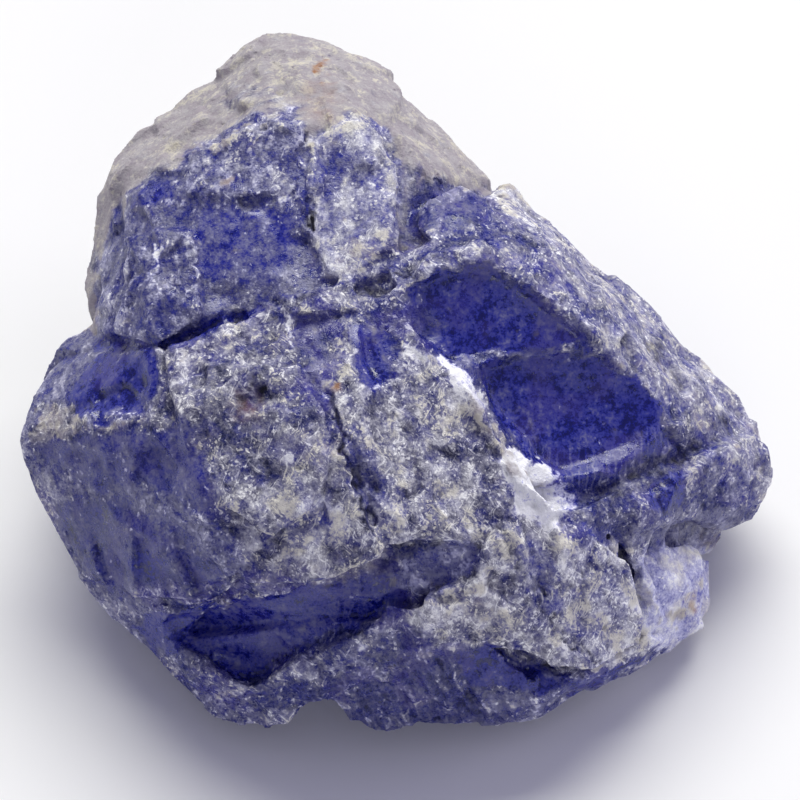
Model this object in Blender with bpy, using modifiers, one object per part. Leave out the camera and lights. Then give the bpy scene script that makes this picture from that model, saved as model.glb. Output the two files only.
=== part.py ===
"""A rough tanzanite crystal, about 30 mm across, broken from its vein and lying on its widest face.

The stone is one solid. It is blocked out as a sculptor would see it from the front, looking down at
VIEW_ELEVATION: x runs to the right, y up the view and z towards the viewer, in millimetres. Each block is
the convex hull of its own few corners, the blocks are fused, the hollows are cut, the broken skin is
roughened, and the stone is then tipped back on to the ground and cut off flat where it rests.
"""
import math

import bmesh
import bpy
from mathutils import Matrix, Vector, noise

# Driving dimensions
MM = 0.001
VIEW_ELEVATION = 55.0
REST_HEIGHT = 9.0
STONE_NAME = "tanzanite_crystal"

# Skin of the stone, in millimetres
SKIN_CELL = 0.2
TRIANGLES = 8800
CHIP_SIZE = 2.2
CHIP_STRETCH = 1.9
CHIP_DEPTH = 0.34
LUMP_SIZE = 3.6
LUMP_DEPTH = 0.17
GRAIN_LEAN = 22.0
GRAIN_SIZE = 1.2
GRAIN_DEPTH = 0.1
SMOOTH_SKIN = 0.12
SMOOTH_EDGE = 0.5
HOLLOW_REACH = 6.0
WINDOW_SLOPE = 0.35
GROOVE_SLOPE = 1.1
SLIVER = 0.004

# Ribs along the foot
RIB_PITCH = 0.95
RIB_DEPTH = 0.13
RIB_LEAN = 28.0

# Finish
VIOLET_BLUE = (0.065, 0.07, 0.26, 1.0)
CRYSTAL_ROUGHNESS = 0.42
CRYSTAL_IOR = 1.69
CRYSTAL_TRANSMISSION = 0.6

TILT = math.radians(VIEW_ELEVATION)


def ground(x, y, height=0.0):
    """A point of the drawing that stands on the ground at x, y, with y running away from the viewer."""
    z = height - REST_HEIGHT
    return (x, y * math.sin(TILT) + z * math.cos(TILT), -y * math.cos(TILT) + z * math.sin(TILT))


BLOCKS = {
    # The mass behind all the faces, which gives the stone its back and its base
    "body": [
        ground(-8.5, -6.2, -0.6), ground(-1.0, -8.2, -0.6), ground(7.2, -6.6, -0.6),
        ground(10.2, -1.0, -0.6), ground(6.0, 7.0, -0.6), ground(-2.0, 10.2, -0.6),
        ground(-8.6, 6.4, -0.6), ground(-10.6, -0.6, -0.6), ground(-6.4, 13.4, 6.0),
        ground(2.2, 11.6, 5.0), ground(9.4, 6.6, 3.4), ground(12.2, 1.6, 2.6), ground(-11.6, 8.0, 5.4),
        ground(-13.0, 1.6, 4.4), ground(-9.6, -6.6, 2.6), ground(0.6, -9.6, 2.2), ground(8.6, -7.6, 2.0),
        (-13.0, -1.4, -2.0), (-10.6, 7.0, -2.6), (-3.4, 11.4, -1.6), (3.2, 7.4, -0.8), (10.2, 0.4, -0.6),
        (-10.2, 2.2, 0.9), (-8.0, 1.6, 2.6), (-3.0, 4.6, 2.4), (0.0, 4.8, 2.8), (0.0, 0.8, 3.8),
        (-4.0, -4.0, 4.4), (-6.4, -7.0, 3.4), (-1.0, -8.0, 3.4), (2.6, -6.0, 4.2), (4.0, -8.6, 2.8),
        (4.6, -10.6, 1.7), (6.6, -4.4, 2.6), (9.0, -5.6, 0.0), (-9.0, -8.0, 0.4),
    ],
    # The upper block: its pale cap falls away behind, its blue face looks at the viewer
    "upper_block": [
        (-12.6, 3.4, -3.8), (-12.2, 7.6, -4.5), (-11.7, 9.5, -5.0), (-10.4, 11.0, -5.2),
        (-8.8, 12.0, -5.4), (-7.6, 13.0, -5.6), (-6.1, 14.4, -5.8), (-4.4, 14.8, -5.8),
        (-2.8, 14.3, -5.6), (-1.0, 13.6, -5.2), (0.0, 12.5, -5.0), (1.5, 10.9, -4.8), (2.7, 9.4, -4.4),
        (3.6, 8.7, -4.0), (3.6, 6.6, -2.0), (-10.8, 8.0, -1.2), (-7.6, 9.4, 0.3), (-4.4, 10.9, 0.4),
        (-1.8, 11.6, -0.2), (0.4, 10.0, -0.8), (-11.9, 2.6, -0.9), (-9.6, 2.5, 1.9), (-6.0, 3.7, 2.5),
        (-2.4, 5.0, 2.6), (-0.2, 5.6, 1.9), ground(-12.0, 8.8, 7.4), ground(-8.6, 13.2, 8.2),
        ground(-4.2, 15.4, 9.6), ground(0.6, 14.2, 9.0), ground(3.4, 11.8, 7.6), ground(-7.8, 11.8, 2.2),
        ground(-3.2, 13.2, 2.8), ground(2.0, 11.8, 2.6), ground(-10.8, 8.6, 2.4),
    ],
    "cap_crown": [
        (-7.2, 13.0, -4.6), (-6.0, 14.5, -6.0), (-4.6, 14.9, -5.6), (-3.0, 14.4, -5.2),
        (-0.9, 13.5, -4.8), (0.2, 12.6, -4.6), (-4.6, 12.6, -1.9), (-2.2, 12.6, -1.6),
        (-0.4, 11.2, -0.9), (-6.6, 11.8, -1.6),
    ],
    "left_ear": [
        (-12.9, 4.4, -4.6), (-12.8, 5.4, -4.4), (-12.3, 6.5, -4.2), (-12.4, 4.0, -3.4),
        (-11.2, 5.2, -1.9), (-11.4, 3.4, -1.8), (-10.8, 7.0, -2.6), (-10.4, 4.0, -4.6),
    ],
    # The rounded tooth that stands proud of the upper block's right half
    "tooth": [
        (-3.9, 8.6, 1.3), (-3.4, 10.3, 0.8), (-2.4, 11.2, 0.5), (-1.1, 11.1, 0.7), (-0.1, 9.5, 1.3),
        (0.1, 7.4, 2.2), (-0.4, 5.2, 2.9), (-1.8, 4.5, 3.2), (-3.0, 5.2, 2.9), (-3.8, 6.6, 2.3),
        (-3.6, 8.6, -0.6), (-1.4, 10.4, -0.8), (-0.2, 7.4, -0.4), (-1.8, 5.0, 0.6),
    ],
    "step_plate": [
        (-10.9, 6.6, 0.2), (-8.2, 6.9, 1.3), (-7.9, 3.2, 2.6), (-9.3, 2.3, 2.5), (-11.7, 2.7, 0.3),
        (-10.4, 6.0, -1.0), (-8.4, 5.6, 0.2), (-9.0, 3.0, 0.8), (-11.2, 3.2, -0.8),
    ],
    "brow_plate": [
        (-8.4, 10.2, -0.6), (-5.2, 11.0, 0.5), (-4.0, 11.2, 0.5), (-4.1, 8.6, 1.4), (-5.6, 8.2, 1.4),
        (-8.8, 8.2, 0.6), (-8.0, 9.0, -1.6), (-4.6, 9.4, -1.0),
    ],
    # The left mass, with its pointed corner
    "left_mass": [
        (-15.3, -1.6, -2.0), (-14.9, -0.4, -2.3), (-14.2, 1.2, -2.9), (-13.3, 2.3, -3.3),
        (-12.3, 3.0, -3.0), (-14.9, -3.0, -2.4), (-14.1, -4.2, -2.8), (-13.8, -5.2, -2.9),
        (-12.9, -6.9, -2.6), (-12.0, -8.2, -2.3), (-10.7, -9.5, -2.0), (-9.4, -10.2, -0.9),
        (-11.9, 1.8, -0.5), (-9.6, 2.0, 2.2), (-12.2, -0.7, 0.7), (-9.8, -0.8, 2.7), (-8.4, -2.0, 4.4),
        (-8.2, -4.6, 4.3), (-10.0, -8.2, 0.7), (-7.8, -8.8, 2.3), (-6.6, -7.4, 3.6), (-6.0, 0.0, 4.0),
        (-6.0, -6.0, 0.0), (-8.0, 1.0, -2.0), ground(-14.4, 1.8, 4.8), ground(-13.6, 4.6, 4.2),
        ground(-12.0, 7.0, 4.4), ground(-12.6, -2.0, 2.4), ground(-11.8, 1.0, 0.8),
        ground(-10.6, -5.0, 0.9),
    ],
    "corner_ridge": [
        (-15.2, -1.6, -2.0), (-14.4, -0.8, -1.3), (-12.4, -0.4, 0.9), (-10.0, -0.6, 2.9),
        (-8.4, -1.2, 4.2), (-8.6, -2.6, 4.0), (-10.8, -1.8, 2.3), (-13.2, -1.8, 0.3),
        (-14.6, -2.4, -1.8), (-13.0, -1.4, -3.0), (-9.0, -1.6, 0.0),
    ],
    "lower_left_slab": [
        (-13.6, -4.6, -2.0), (-11.4, -3.6, 1.1), (-8.1, -4.6, 4.6), (-6.6, -7.0, 4.4), (-8.4, -8.0, 2.8),
        (-11.0, -7.9, 0.6), (-12.7, -7.0, -1.9), (-12.0, -6.0, -3.0), (-8.0, -6.0, 0.0),
    ],
    # The broad dusty facet in the middle and the two beside it
    "dusty_facet": [
        (-9.5, 2.1, 2.7), (-6.1, 3.5, 2.9), (-2.5, 4.6, 3.1), (-0.8, 4.3, 3.7), (-2.2, 0.8, 5.3),
        (-2.0, -2.0, 6.0), (-1.2, -5.1, 6.1), (-0.7, -6.3, 5.8), (-2.8, -7.3, 5.5), (-5.5, -7.5, 4.9),
        (-7.6, -6.4, 4.5), (-8.0, -3.4, 5.0), (-8.9, -0.4, 4.3), (-8.0, -2.0, 0.0), (-2.0, -5.0, 1.0),
        (-3.0, 3.0, 0.5),
    ],
    "dusty_shoulder": [
        (-7.8, -0.2, 4.7), (-6.4, 1.4, 4.6), (-4.0, 1.6, 5.0), (-2.9, -0.6, 6.1), (-3.0, -4.2, 6.4),
        (-5.0, -5.6, 5.9), (-7.0, -4.2, 5.6), (-5.0, -2.0, 2.0),
    ],
    "striated_facet": [
        (-1.7, 4.2, 3.5), (0.2, 4.6, 3.7), (1.2, 2.4, 4.1), (3.1, -0.1, 4.2), (4.7, -3.1, 4.2),
        (6.1, -4.3, 3.7), (5.0, -5.6, 4.2), (1.6, -5.6, 5.2), (-0.6, -5.7, 5.5), (-1.6, -2.4, 5.5),
        (-2.2, 1.6, 4.7), (0.0, 2.0, 0.0), (4.0, -4.0, 1.0), (0.0, -5.0, 1.0),
    ],
    # The pale rib between the striated facet and the windows
    "pale_rib": [
        (0.0, 2.7, 4.0), (1.0, 2.1, 4.4), (2.0, 1.1, 4.5), (3.1, 0.1, 4.6), (3.9, -1.4, 4.6),
        (4.9, -3.1, 4.6), (6.3, -4.4, 3.9), (5.4, -4.6, 4.0), (3.4, -1.6, 4.2), (1.6, 0.8, 4.0),
        (3.8, -1.6, 2.6), (2.2, 0.6, 2.6),
    ],
    # The right shoulder, whose dusty rim falls away to the outline
    "right_shoulder": [
        (-0.6, 5.2, 3.3), (0.9, 6.2, 2.9), (4.0, 7.3, 1.3), (5.8, 6.2, 0.9), (8.2, 3.4, 0.5),
        (10.8, 0.3, -0.3), (4.4, 8.6, -4.0), (5.5, 7.4, -4.4), (6.6, 5.8, -4.8), (7.8, 4.6, -5.2),
        (10.0, 3.2, -5.6), (12.1, 1.7, -5.6), (13.5, 0.2, -5.4), (14.3, -1.1, -5.2), (14.5, -3.2, -5.0),
        (0.2, 4.3, 3.9), (4.0, 5.2, 3.0), (7.4, 2.4, 2.2), (10.7, -0.9, 0.4), (8.2, -3.1, 1.9),
        (5.6, -3.4, 3.0), (2.0, 1.0, 3.5), (12.0, -4.2, -4.0), (2.0, 0.0, 0.0), ground(5.4, 10.0, 5.6),
        ground(9.2, 7.0, 4.8), ground(12.2, 4.4, 3.0), ground(13.6, 1.6, 1.8), ground(7.4, 7.6, 1.0),
        ground(11.2, 2.0, 0.4),
    ],
    "crest_bead": [
        (-0.6, 4.9, 3.5), (0.8, 5.7, 3.5), (3.2, 6.3, 2.7), (5.0, 5.3, 2.3), (7.2, 3.5, 1.8),
        (8.2, 2.4, 1.7), (6.8, 2.9, 2.5), (4.8, 4.6, 2.9), (3.0, 5.5, 3.2), (0.6, 4.8, 3.9),
        (3.0, 5.2, 1.0), (6.6, 3.2, 0.6),
    ],
    "shoulder_knob": [
        (3.7, 8.7, -3.8), (4.3, 8.7, -3.6), (5.4, 7.8, -3.9), (4.6, 7.4, -1.2), (3.8, 7.6, -1.6),
        (4.8, 6.8, -3.6),
    ],
    "rim_bump": [
        (8.2, 4.0, -4.8), (8.9, 3.9, -4.6), (10.1, 3.6, -4.8), (10.7, 2.8, -4.8), (9.0, 3.4, -2.0),
        (9.8, 2.2, -2.2), (8.0, 3.6, -3.4), (9.4, 2.6, -5.4),
    ],
    # The small blue wedge at the head of the shoulder
    "wedge": [
        (0.5, 7.7, 1.4), (2.4, 8.7, 0.0), (3.8, 7.8, 0.2), (3.4, 6.9, 1.8), (1.0, 6.5, 2.6),
        (0.4, 6.7, 2.4), (1.0, 6.8, -1.4), (3.0, 7.6, -2.2),
    ],
    # The toe that points to the right, over the brown hollow
    "toe": [
        (7.8, -4.0, 3.0), (10.2, -2.9, 1.8), (12.6, -2.2, -0.9), (14.3, -1.3, -4.4), (15.0, -2.2, -4.7),
        (15.1, -3.6, -4.9), (14.6, -4.7, -5.1), (13.6, -5.0, -4.6), (12.4, -4.6, -1.8), (9.8, -5.0, 1.7),
        (7.4, -5.2, 2.9), (6.6, -4.4, 3.3), (12.6, -4.2, -5.4), (8.6, -4.4, 0.0),
    ],
    # The grainy ridge at the lower right, in two arms with a lower floor between them
    "grainy_ridge": [
        (0.9, -7.7, 4.7), (3.0, -6.3, 5.0), (4.6, -4.9, 4.6), (5.0, -6.0, 4.4), (5.2, -8.6, 3.7),
        (6.2, -10.4, 2.9), (5.4, -10.2, 3.2), (3.6, -9.3, 4.1), (1.1, -8.9, 4.4), (3.0, -7.0, 0.0),
        (5.0, -9.0, 0.0),
    ],
    "grainy_block": [
        (6.0, -5.0, 3.8), (7.6, -4.9, 3.3), (9.2, -6.4, 2.1), (9.9, -8.8, 1.0), (9.6, -10.0, 0.8),
        (7.6, -10.7, 1.9), (5.9, -10.8, 2.8), (5.9, -8.2, 3.6), (6.4, -6.4, 3.9), (8.0, -7.0, -1.0),
        (7.0, -9.6, 0.0),
    ],
    "floor_between_arms": [
        (4.7, -5.4, 4.2), (6.4, -5.4, 3.7), (6.3, -7.2, 3.4), (6.1, -8.8, 3.1), (5.0, -8.9, 3.3),
        (4.8, -7.0, 3.9), (5.6, -7.0, 0.0),
    ],
    "toe_root": [
        (5.4, -4.2, 3.7), (6.6, -4.2, 3.5), (8.4, -4.6, 2.7), (8.6, -5.6, 2.3), (7.0, -5.6, 3.1),
        (5.6, -5.5, 3.8), (7.0, -5.0, 0.6),
    ],
    "hollow_head": [
        (8.0, -5.0, 2.4), (9.6, -4.9, 1.2), (10.9, -5.1, -0.5), (10.6, -6.2, -0.8), (9.2, -6.4, 0.9),
        (8.4, -5.8, 2.0), (9.5, -5.6, -2.0),
    ],
    "ridge_root": [
        (-0.8, -8.0, 4.2), (1.2, -8.2, 4.3), (1.4, -9.6, 3.7), (-0.4, -9.8, 3.4), (0.2, -9.0, 2.0),
    ],
    # The pale bleb under the toe
    "pale_bleb": [
        (9.4, -5.9, 0.4), (11.2, -5.8, -1.4), (12.6, -6.2, -3.8), (12.9, -8.3, -4.0), (12.3, -9.3, -3.4),
        (11.4, -9.6, -2.4), (9.8, -9.8, -0.2), (9.2, -8.0, 0.8), (10.0, -7.6, -4.0), (9.0, -9.0, -3.0),
        (11.0, -7.2, -0.4),
    ],
    "brown_hollow_wall": [
        (8.6, -4.8, 0.8), (12.9, -4.6, -4.3), (13.1, -5.5, -5.2), (12.4, -6.3, -5.3), (9.0, -6.4, -0.1),
        (10.8, -5.0, -5.6), (8.8, -5.6, -3.0),
    ],
    # The shelf along the foot: its left rim, the ribbed middle and the right rim
    "left_rim": [
        (-10.6, -9.5, -2.0), (-9.4, -10.6, -1.5), (-8.4, -11.8, -1.1), (-7.4, -12.7, -0.6),
        (-6.0, -13.3, -0.2), (-4.8, -13.1, 0.2), (-3.0, -12.2, 1.0), (-2.0, -11.5, 2.2),
        (0.0, -10.0, 3.5), (-0.4, -8.7, 4.3), (-4.4, -10.4, 2.9), (-6.6, -11.2, 1.7), (-8.8, -9.8, 0.7),
        (-6.0, -9.0, -1.0), (-1.0, -9.0, 0.5),
    ],
    "ribbed_foot": [
        (-3.2, -11.6, 1.7), (-3.1, -12.3, 1.0), (-1.8, -12.9, 0.3), (-1.1, -13.3, 0.0),
        (1.2, -13.3, 0.0), (3.4, -13.1, 0.0), (5.2, -12.8, 0.0), (0.0, -9.8, 3.5), (1.4, -8.8, 4.1),
        (3.6, -9.8, 3.0), (5.4, -11.2, 1.9), (0.0, -10.6, -1.4), (4.0, -10.6, -1.2),
    ],
    "right_rim": [
        (3.6, -12.6, 0.6), (3.8, -11.4, 1.8), (4.8, -12.9, 0.1), (6.4, -12.2, -0.4), (8.0, -11.6, -0.9),
        (10.0, -10.7, -1.6), (11.6, -9.7, -2.8), (11.8, -9.2, -3.0), (10.2, -9.6, -0.2),
        (7.4, -11.2, 1.0), (5.4, -11.9, 1.5), (7.0, -9.6, -2.0), (10.0, -8.6, -3.4),
    ],
}


# Shallow windows of clear crystal, each by the corners of its floor; they open towards the viewer
WINDOWS = {
    "upper_window": [
        (0.1, 4.3, 3.5), (1.0, 4.9, 3.3), (3.2, 5.4, 2.9), (5.2, 4.4, 2.5), (7.0, 3.2, 2.0),
        (7.6, 2.2, 1.8), (5.8, 1.9, 2.3), (3.2, 1.7, 2.9), (1.9, 1.5, 3.3), (0.7, 2.7, 3.5),
    ],
    "lower_window": [
        (3.4, 1.2, 2.5), (4.8, 1.8, 2.2), (7.7, 2.0, 1.5), (9.5, 0.9, 0.9), (10.7, -0.4, 0.3),
        (10.5, -1.2, 0.4), (9.4, -2.1, 1.0), (7.6, -2.8, 1.7), (6.3, -3.0, 2.1), (4.8, -1.6, 2.4),
        (3.8, -0.1, 2.5),
    ],
    "left_window": [
        (-13.0, 0.0, -0.2), (-12.2, 1.2, 0.0), (-10.4, 1.6, 1.3), (-9.9, 0.6, 2.0), (-10.6, -0.4, 2.0),
        (-12.4, -0.4, 0.6),
    ],
    "foot_window": [
        (-9.4, -8.7, 0.3), (-6.6, -7.9, 2.4), (-2.6, -7.5, 3.6), (-0.8, -7.8, 4.0), (-0.6, -8.5, 3.8),
        (-3.2, -9.1, 2.7), (-4.6, -10.3, 1.5), (-6.0, -11.1, 0.8), (-7.6, -10.5, 0.2), (-9.0, -9.5, 0.0),
    ],
    "foot_bowl": [
        (-7.4, -9.4, 0.9), (-5.0, -9.1, 1.7), (-4.4, -10.0, 1.3), (-5.8, -10.9, 0.5), (-7.2, -10.4, 0.1),
    ],
    "small_window": [
        (-0.8, -6.4, 4.9), (1.4, -5.4, 4.8), (3.1, -5.9, 4.3), (3.0, -7.0, 4.0), (1.0, -7.4, 4.2),
        (-0.4, -7.4, 4.4),
    ],
}

# Grooves between the blocks, with leaning walls
GROOVES = {
    "foot_hollow": [
        (2.6, -9.9, 3.3), (3.8, -9.8, 3.0), (5.2, -10.6, 2.2), (4.6, -10.9, 2.2), (3.4, -10.4, 2.8),
    ],
    "recess": [
        (0.3, 9.2, -0.1), (0.6, 9.2, -0.3), (0.5, 7.8, 0.7), (0.3, 6.6, 1.8), (0.1, 6.4, 2.0),
        (0.3, 7.6, 1.0),
    ],
    "toe_groove": [
        (8.4, -3.9, 2.4), (9.8, -2.9, 1.4), (11.0, -2.3, -0.1), (12.0, -2.5, -0.9), (10.6, -2.8, 0.6),
        (8.8, -4.0, 2.2),
    ],
    "rusty_dimple": [
        (-6.3, 0.2, 4.5), (-5.4, 0.5, 4.7), (-5.2, 0.0, 4.9), (-5.9, -0.2, 4.9),
    ],
    "long_groove": [
        (-2.4, -0.8, 5.5), (-2.0, -1.2, 5.5), (-1.0, -4.0, 5.2), (-0.8, -5.2, 5.2), (-1.3, -4.4, 5.2),
    ],
}

# Patches that broke off clean, as outlines in the drawing: windows of clear crystal and smooth facets
SMOOTH_PATCHES = [
    [
        (-0.2, 4.5), (3.2, 5.7), (5.3, 4.6), (7.8, 2.4), (9.7, 0.9), (10.9, -0.4), (9.6, -2.1), (6.3, -3.1),
        (3.2, 1.0),
    ],
    [(-9.0, -8.5), (-6.6, -7.6), (-0.4, -7.4), (-0.5, -8.7), (-4.2, -10.2), (-6.0, -11.2), (-9.2, -9.8)],
    [(-0.8, -6.4), (1.4, -5.3), (3.2, -5.8), (3.1, -7.0), (0.8, -7.4)],
    [(-8.2, 7.2), (-4.2, 7.4), (-4.0, 5.0), (-8.0, 4.0)],
    [(-14.4, 1.0), (-12.4, 2.6), (-10.0, 1.8), (-12.6, -0.4), (-14.6, -0.6)],
    [(-12.6, -2.6), (-9.4, -3.4), (-8.4, -5.6), (-11.6, -4.6)],
]

# Bays in the outline, cut straight through
BAYS = {
    "shoulder_bay": [
        (6.1, 7.3, 1.0), (7.9, 5.3, 1.0), (8.8, 4.9, 1.0), (9.6, 7.0, 1.0), (5.7, 7.2, -12.0),
        (7.5, 5.0, -12.0), (8.7, 4.4, -12.0), (9.6, 7.0, -12.0),
    ],
}

# The ribbed part of the foot
RIBBED_PATCH = [(-3.0, -10.0), (3.4, -10.0), (5.4, -11.6), (5.0, -13.6), (-1.8, -13.6), (-3.4, -11.8)]


def remove_all_objects():
    for old in list(bpy.data.objects):
        bpy.data.objects.remove(old, do_unlink=True)


def new_collection(name):
    made = bpy.data.collections.new(name)
    bpy.context.scene.collection.children.link(made)
    return made


def hull_object(name, corners, collection):
    """A convex block round its corners."""
    mesh = bpy.data.meshes.new(name)
    shape = bmesh.new()
    for corner in corners:
        shape.verts.new(corner)
    made = bmesh.ops.convex_hull(shape, input=shape.verts)
    inner = [item for item in made["geom_interior"] if isinstance(item, bmesh.types.BMVert)]
    bmesh.ops.delete(shape, geom=inner, context="VERTS")
    bmesh.ops.recalc_face_normals(shape, faces=shape.faces)
    shape.to_mesh(mesh)
    shape.free()
    made_object = bpy.data.objects.new(name, mesh)
    collection.objects.link(made_object)
    return made_object


def hollow_corners(floor, slope):
    """The floor of a hollow and the wider mouth above it, with walls that lean out by the slope."""
    middle = sum((Vector(corner[:2]) for corner in floor), Vector((0.0, 0.0))) / len(floor)
    mouth = []
    for corner in floor:
        flat = Vector(corner[:2])
        spread = flat + (flat - middle).normalized() * slope * HOLLOW_REACH
        mouth.append((spread.x, spread.y, corner[2] + HOLLOW_REACH))
    return [*floor, *mouth]


def mesh_of(stone):
    """The stone's shape with its modifiers applied, as a new mesh."""
    graph = bpy.context.evaluated_depsgraph_get()
    return bpy.data.meshes.new_from_object(stone.evaluated_get(graph))


def apply_all(stone):
    shape = mesh_of(stone)
    stone.modifiers.clear()
    stone.data = shape


def add_boolean(stone, helper, operation):
    helper.hide_render = True
    helper.display_type = "WIRE"
    cut = stone.modifiers.new(helper.name, "BOOLEAN")
    cut.object = helper
    cut.operation = operation
    cut.solver = "EXACT"


def block_out(stone_collection, helpers):
    """Fuses the blocks and cuts the hollows."""
    names = list(BLOCKS)
    stone = hull_object(STONE_NAME, BLOCKS[names[0]], stone_collection)
    for name in names[1:]:
        add_boolean(stone, hull_object(name, BLOCKS[name], helpers), "UNION")
    for hollows, slope in ((WINDOWS, WINDOW_SLOPE), (GROOVES, GROOVE_SLOPE)):
        for name, floor in hollows.items():
            add_boolean(stone, hull_object(name, hollow_corners(floor, slope), helpers), "DIFFERENCE")
    for name, corners in BAYS.items():
        add_boolean(stone, hull_object(name, corners, helpers), "DIFFERENCE")
    apply_all(stone)
    return stone


def skin_over(stone):
    """Turns the faceted block into one even skin of small cells."""
    skin = stone.modifiers.new("even skin", "REMESH")
    skin.mode = "VOXEL"
    skin.voxel_size = SKIN_CELL
    apply_all(stone)


def inside(outline, x, y):
    """Whether x, y lies inside the outline, and how far it is from its edge."""
    hit = False
    nearest = math.inf
    last = outline[-1]
    for point in outline:
        if (point[1] > y) != (last[1] > y):
            crossing = (last[0] - point[0]) * (y - point[1]) / (last[1] - point[1]) + point[0]
            hit = hit != (x < crossing)
        edge_x = point[0] - last[0]
        edge_y = point[1] - last[1]
        along = ((x - last[0]) * edge_x + (y - last[1]) * edge_y) / (edge_x * edge_x + edge_y * edge_y)
        along = min(1.0, max(0.0, along))
        nearest = min(nearest, math.hypot(last[0] + along * edge_x - x, last[1] + along * edge_y - y))
        last = point
    return hit, nearest


def patch_weight(outlines, place, normal):
    """1 well inside one of the outlines on the side that faces the viewer, 0 outside them."""
    if normal.z < 0.1:
        return 0.0
    best = 0.0
    for outline in outlines:
        hit, nearest = inside(outline, place.x, place.y)
        if hit:
            best = max(best, min(1.0, nearest / SMOOTH_EDGE))
    return best


def chip_height(place):
    """Broken chips, longer along the grain: each ends in its own slightly tilted plane."""
    grain = math.radians(GRAIN_LEAN)
    along = place.y * math.cos(grain) - place.x * math.sin(grain)
    across = place.x * math.cos(grain) + place.y * math.sin(grain)
    spot = Vector((across, along / CHIP_STRETCH, place.z)) / CHIP_SIZE
    cell = noise.voronoi(spot)[1][0]
    lean = noise.cell_vector(cell * 17.3) * 2.0 - Vector((1.0, 1.0, 1.0))
    return lean.dot(spot - cell) * CHIP_DEPTH


def rib_height(place):
    lean = math.radians(RIB_LEAN)
    across = place.x * math.cos(lean) + place.y * math.sin(lean)
    wander = 0.5 * noise.noise(place * 0.4)
    wave = math.sin((across + wander) * math.tau / RIB_PITCH)
    return RIB_DEPTH * (abs(wave) * 2.0 - 1.0)


def roughen(stone):
    """Gives the broken skin its lumps, chips and ribs, and leaves the clean windows smooth."""
    moves = []
    for vertex in stone.data.vertices:
        place = vertex.co
        normal = vertex.normal
        smooth = patch_weight(SMOOTH_PATCHES, place, normal)
        height = chip_height(place)
        height += LUMP_DEPTH * noise.fractal(place / LUMP_SIZE, 0.6, 2.1, 3)
        height += GRAIN_DEPTH * noise.fractal(place / GRAIN_SIZE + Vector((5.0, 9.0, 2.0)), 0.8, 2.1, 2)
        height *= 1.0 - smooth * (1.0 - SMOOTH_SKIN)
        height += rib_height(place) * patch_weight([RIBBED_PATCH], place, normal)
        moves.append(place + normal * height)
    for vertex, place in zip(stone.data.vertices, moves):
        vertex.co = place


def simplify(stone):
    """Keeps the edges of the flat faces and drops the rest of the skin's fine cells."""
    stone.data.update()
    triangles = sum(len(face.vertices) - 2 for face in stone.data.polygons)
    fewer = stone.modifiers.new("fewer triangles", "DECIMATE")
    fewer.ratio = TRIANGLES / triangles
    apply_all(stone)


def drawing_to_ground():
    """Tips the drawing back so that the stone lies on the ground as it is seen."""
    return Matrix.Translation((0.0, 0.0, REST_HEIGHT)) @ Matrix.Rotation(math.pi / 2 - TILT, 4, "X")


def drop_loose_chips(shape):
    """Keeps only the one body of the stone."""
    waiting = set(shape.verts)
    largest = []
    while waiting:
        reached = [waiting.pop()]
        for vertex in reached:
            for edge in vertex.link_edges:
                other = edge.other_vert(vertex)
                if other in waiting:
                    waiting.remove(other)
                    reached.append(other)
        if len(reached) > len(largest):
            largest = reached
    kept = set(largest)
    loose = [vertex for vertex in shape.verts if vertex not in kept]
    bmesh.ops.delete(shape, geom=loose, context="VERTS")


def stand(stone):
    """Lays the stone on the ground, cuts its underside flat and centres it over the origin."""
    stone.data.transform(drawing_to_ground())
    shape = bmesh.new()
    shape.from_mesh(stone.data)
    drop_loose_chips(shape)
    bmesh.ops.bisect_plane(
        shape,
        geom=[*shape.verts, *shape.edges, *shape.faces],
        dist=SLIVER,
        plane_co=(0.0, 0.0, 0.0),
        plane_no=(0.0, 0.0, 1.0),
        clear_inner=True,
    )
    for edge in shape.edges:
        if edge.is_boundary:
            for vertex in edge.verts:
                vertex.co.z = 0.0
    rim = [edge for edge in shape.edges if edge.is_boundary]
    bmesh.ops.triangle_fill(shape, edges=rim, use_beauty=True, use_dissolve=False)
    bmesh.ops.recalc_face_normals(shape, faces=shape.faces)
    low_x = min(vertex.co.x for vertex in shape.verts)
    high_x = max(vertex.co.x for vertex in shape.verts)
    low_y = min(vertex.co.y for vertex in shape.verts)
    high_y = max(vertex.co.y for vertex in shape.verts)
    centre = Vector(((low_x + high_x) / 2.0, (low_y + high_y) / 2.0, 0.0))
    bmesh.ops.translate(shape, verts=shape.verts, vec=-centre)
    bmesh.ops.scale(shape, verts=shape.verts, vec=(MM, MM, MM))
    shape.to_mesh(stone.data)
    shape.free()
    return centre


def crystal_material():
    made = bpy.data.materials.new("tanzanite")
    made.use_nodes = True
    surface = made.node_tree.nodes["Principled BSDF"]
    surface.inputs["Base Color"].default_value = VIOLET_BLUE
    surface.inputs["Roughness"].default_value = CRYSTAL_ROUGHNESS
    surface.inputs["Metallic"].default_value = 0.0
    surface.inputs["IOR"].default_value = CRYSTAL_IOR
    surface.inputs["Transmission Weight"].default_value = CRYSTAL_TRANSMISSION
    made.diffuse_color = VIOLET_BLUE
    return made


def main():
    remove_all_objects()
    stone_collection = new_collection("tanzanite_crystal")
    helpers = new_collection("blocking_helpers")
    stone = block_out(stone_collection, helpers)
    skin_over(stone)
    roughen(stone)
    simplify(stone)
    centre = stand(stone)
    stone.data.materials.clear()
    stone.data.materials.append(crystal_material())
    return centre


CENTRE = main()
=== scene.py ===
"""A rough tanzanite crystal on a pale sheet, lit by a large soft light from above and behind.

The look of the stone is described on a drawing of its front, in millimetres: x to the right, y up the view
and z towards the viewer, who looks down at VIEW_ELEVATION. The middle of the picture is at 0, 0.
"""
import math

import bmesh
import bpy
import numpy as np
from mathutils import Matrix, Vector, noise


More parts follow.
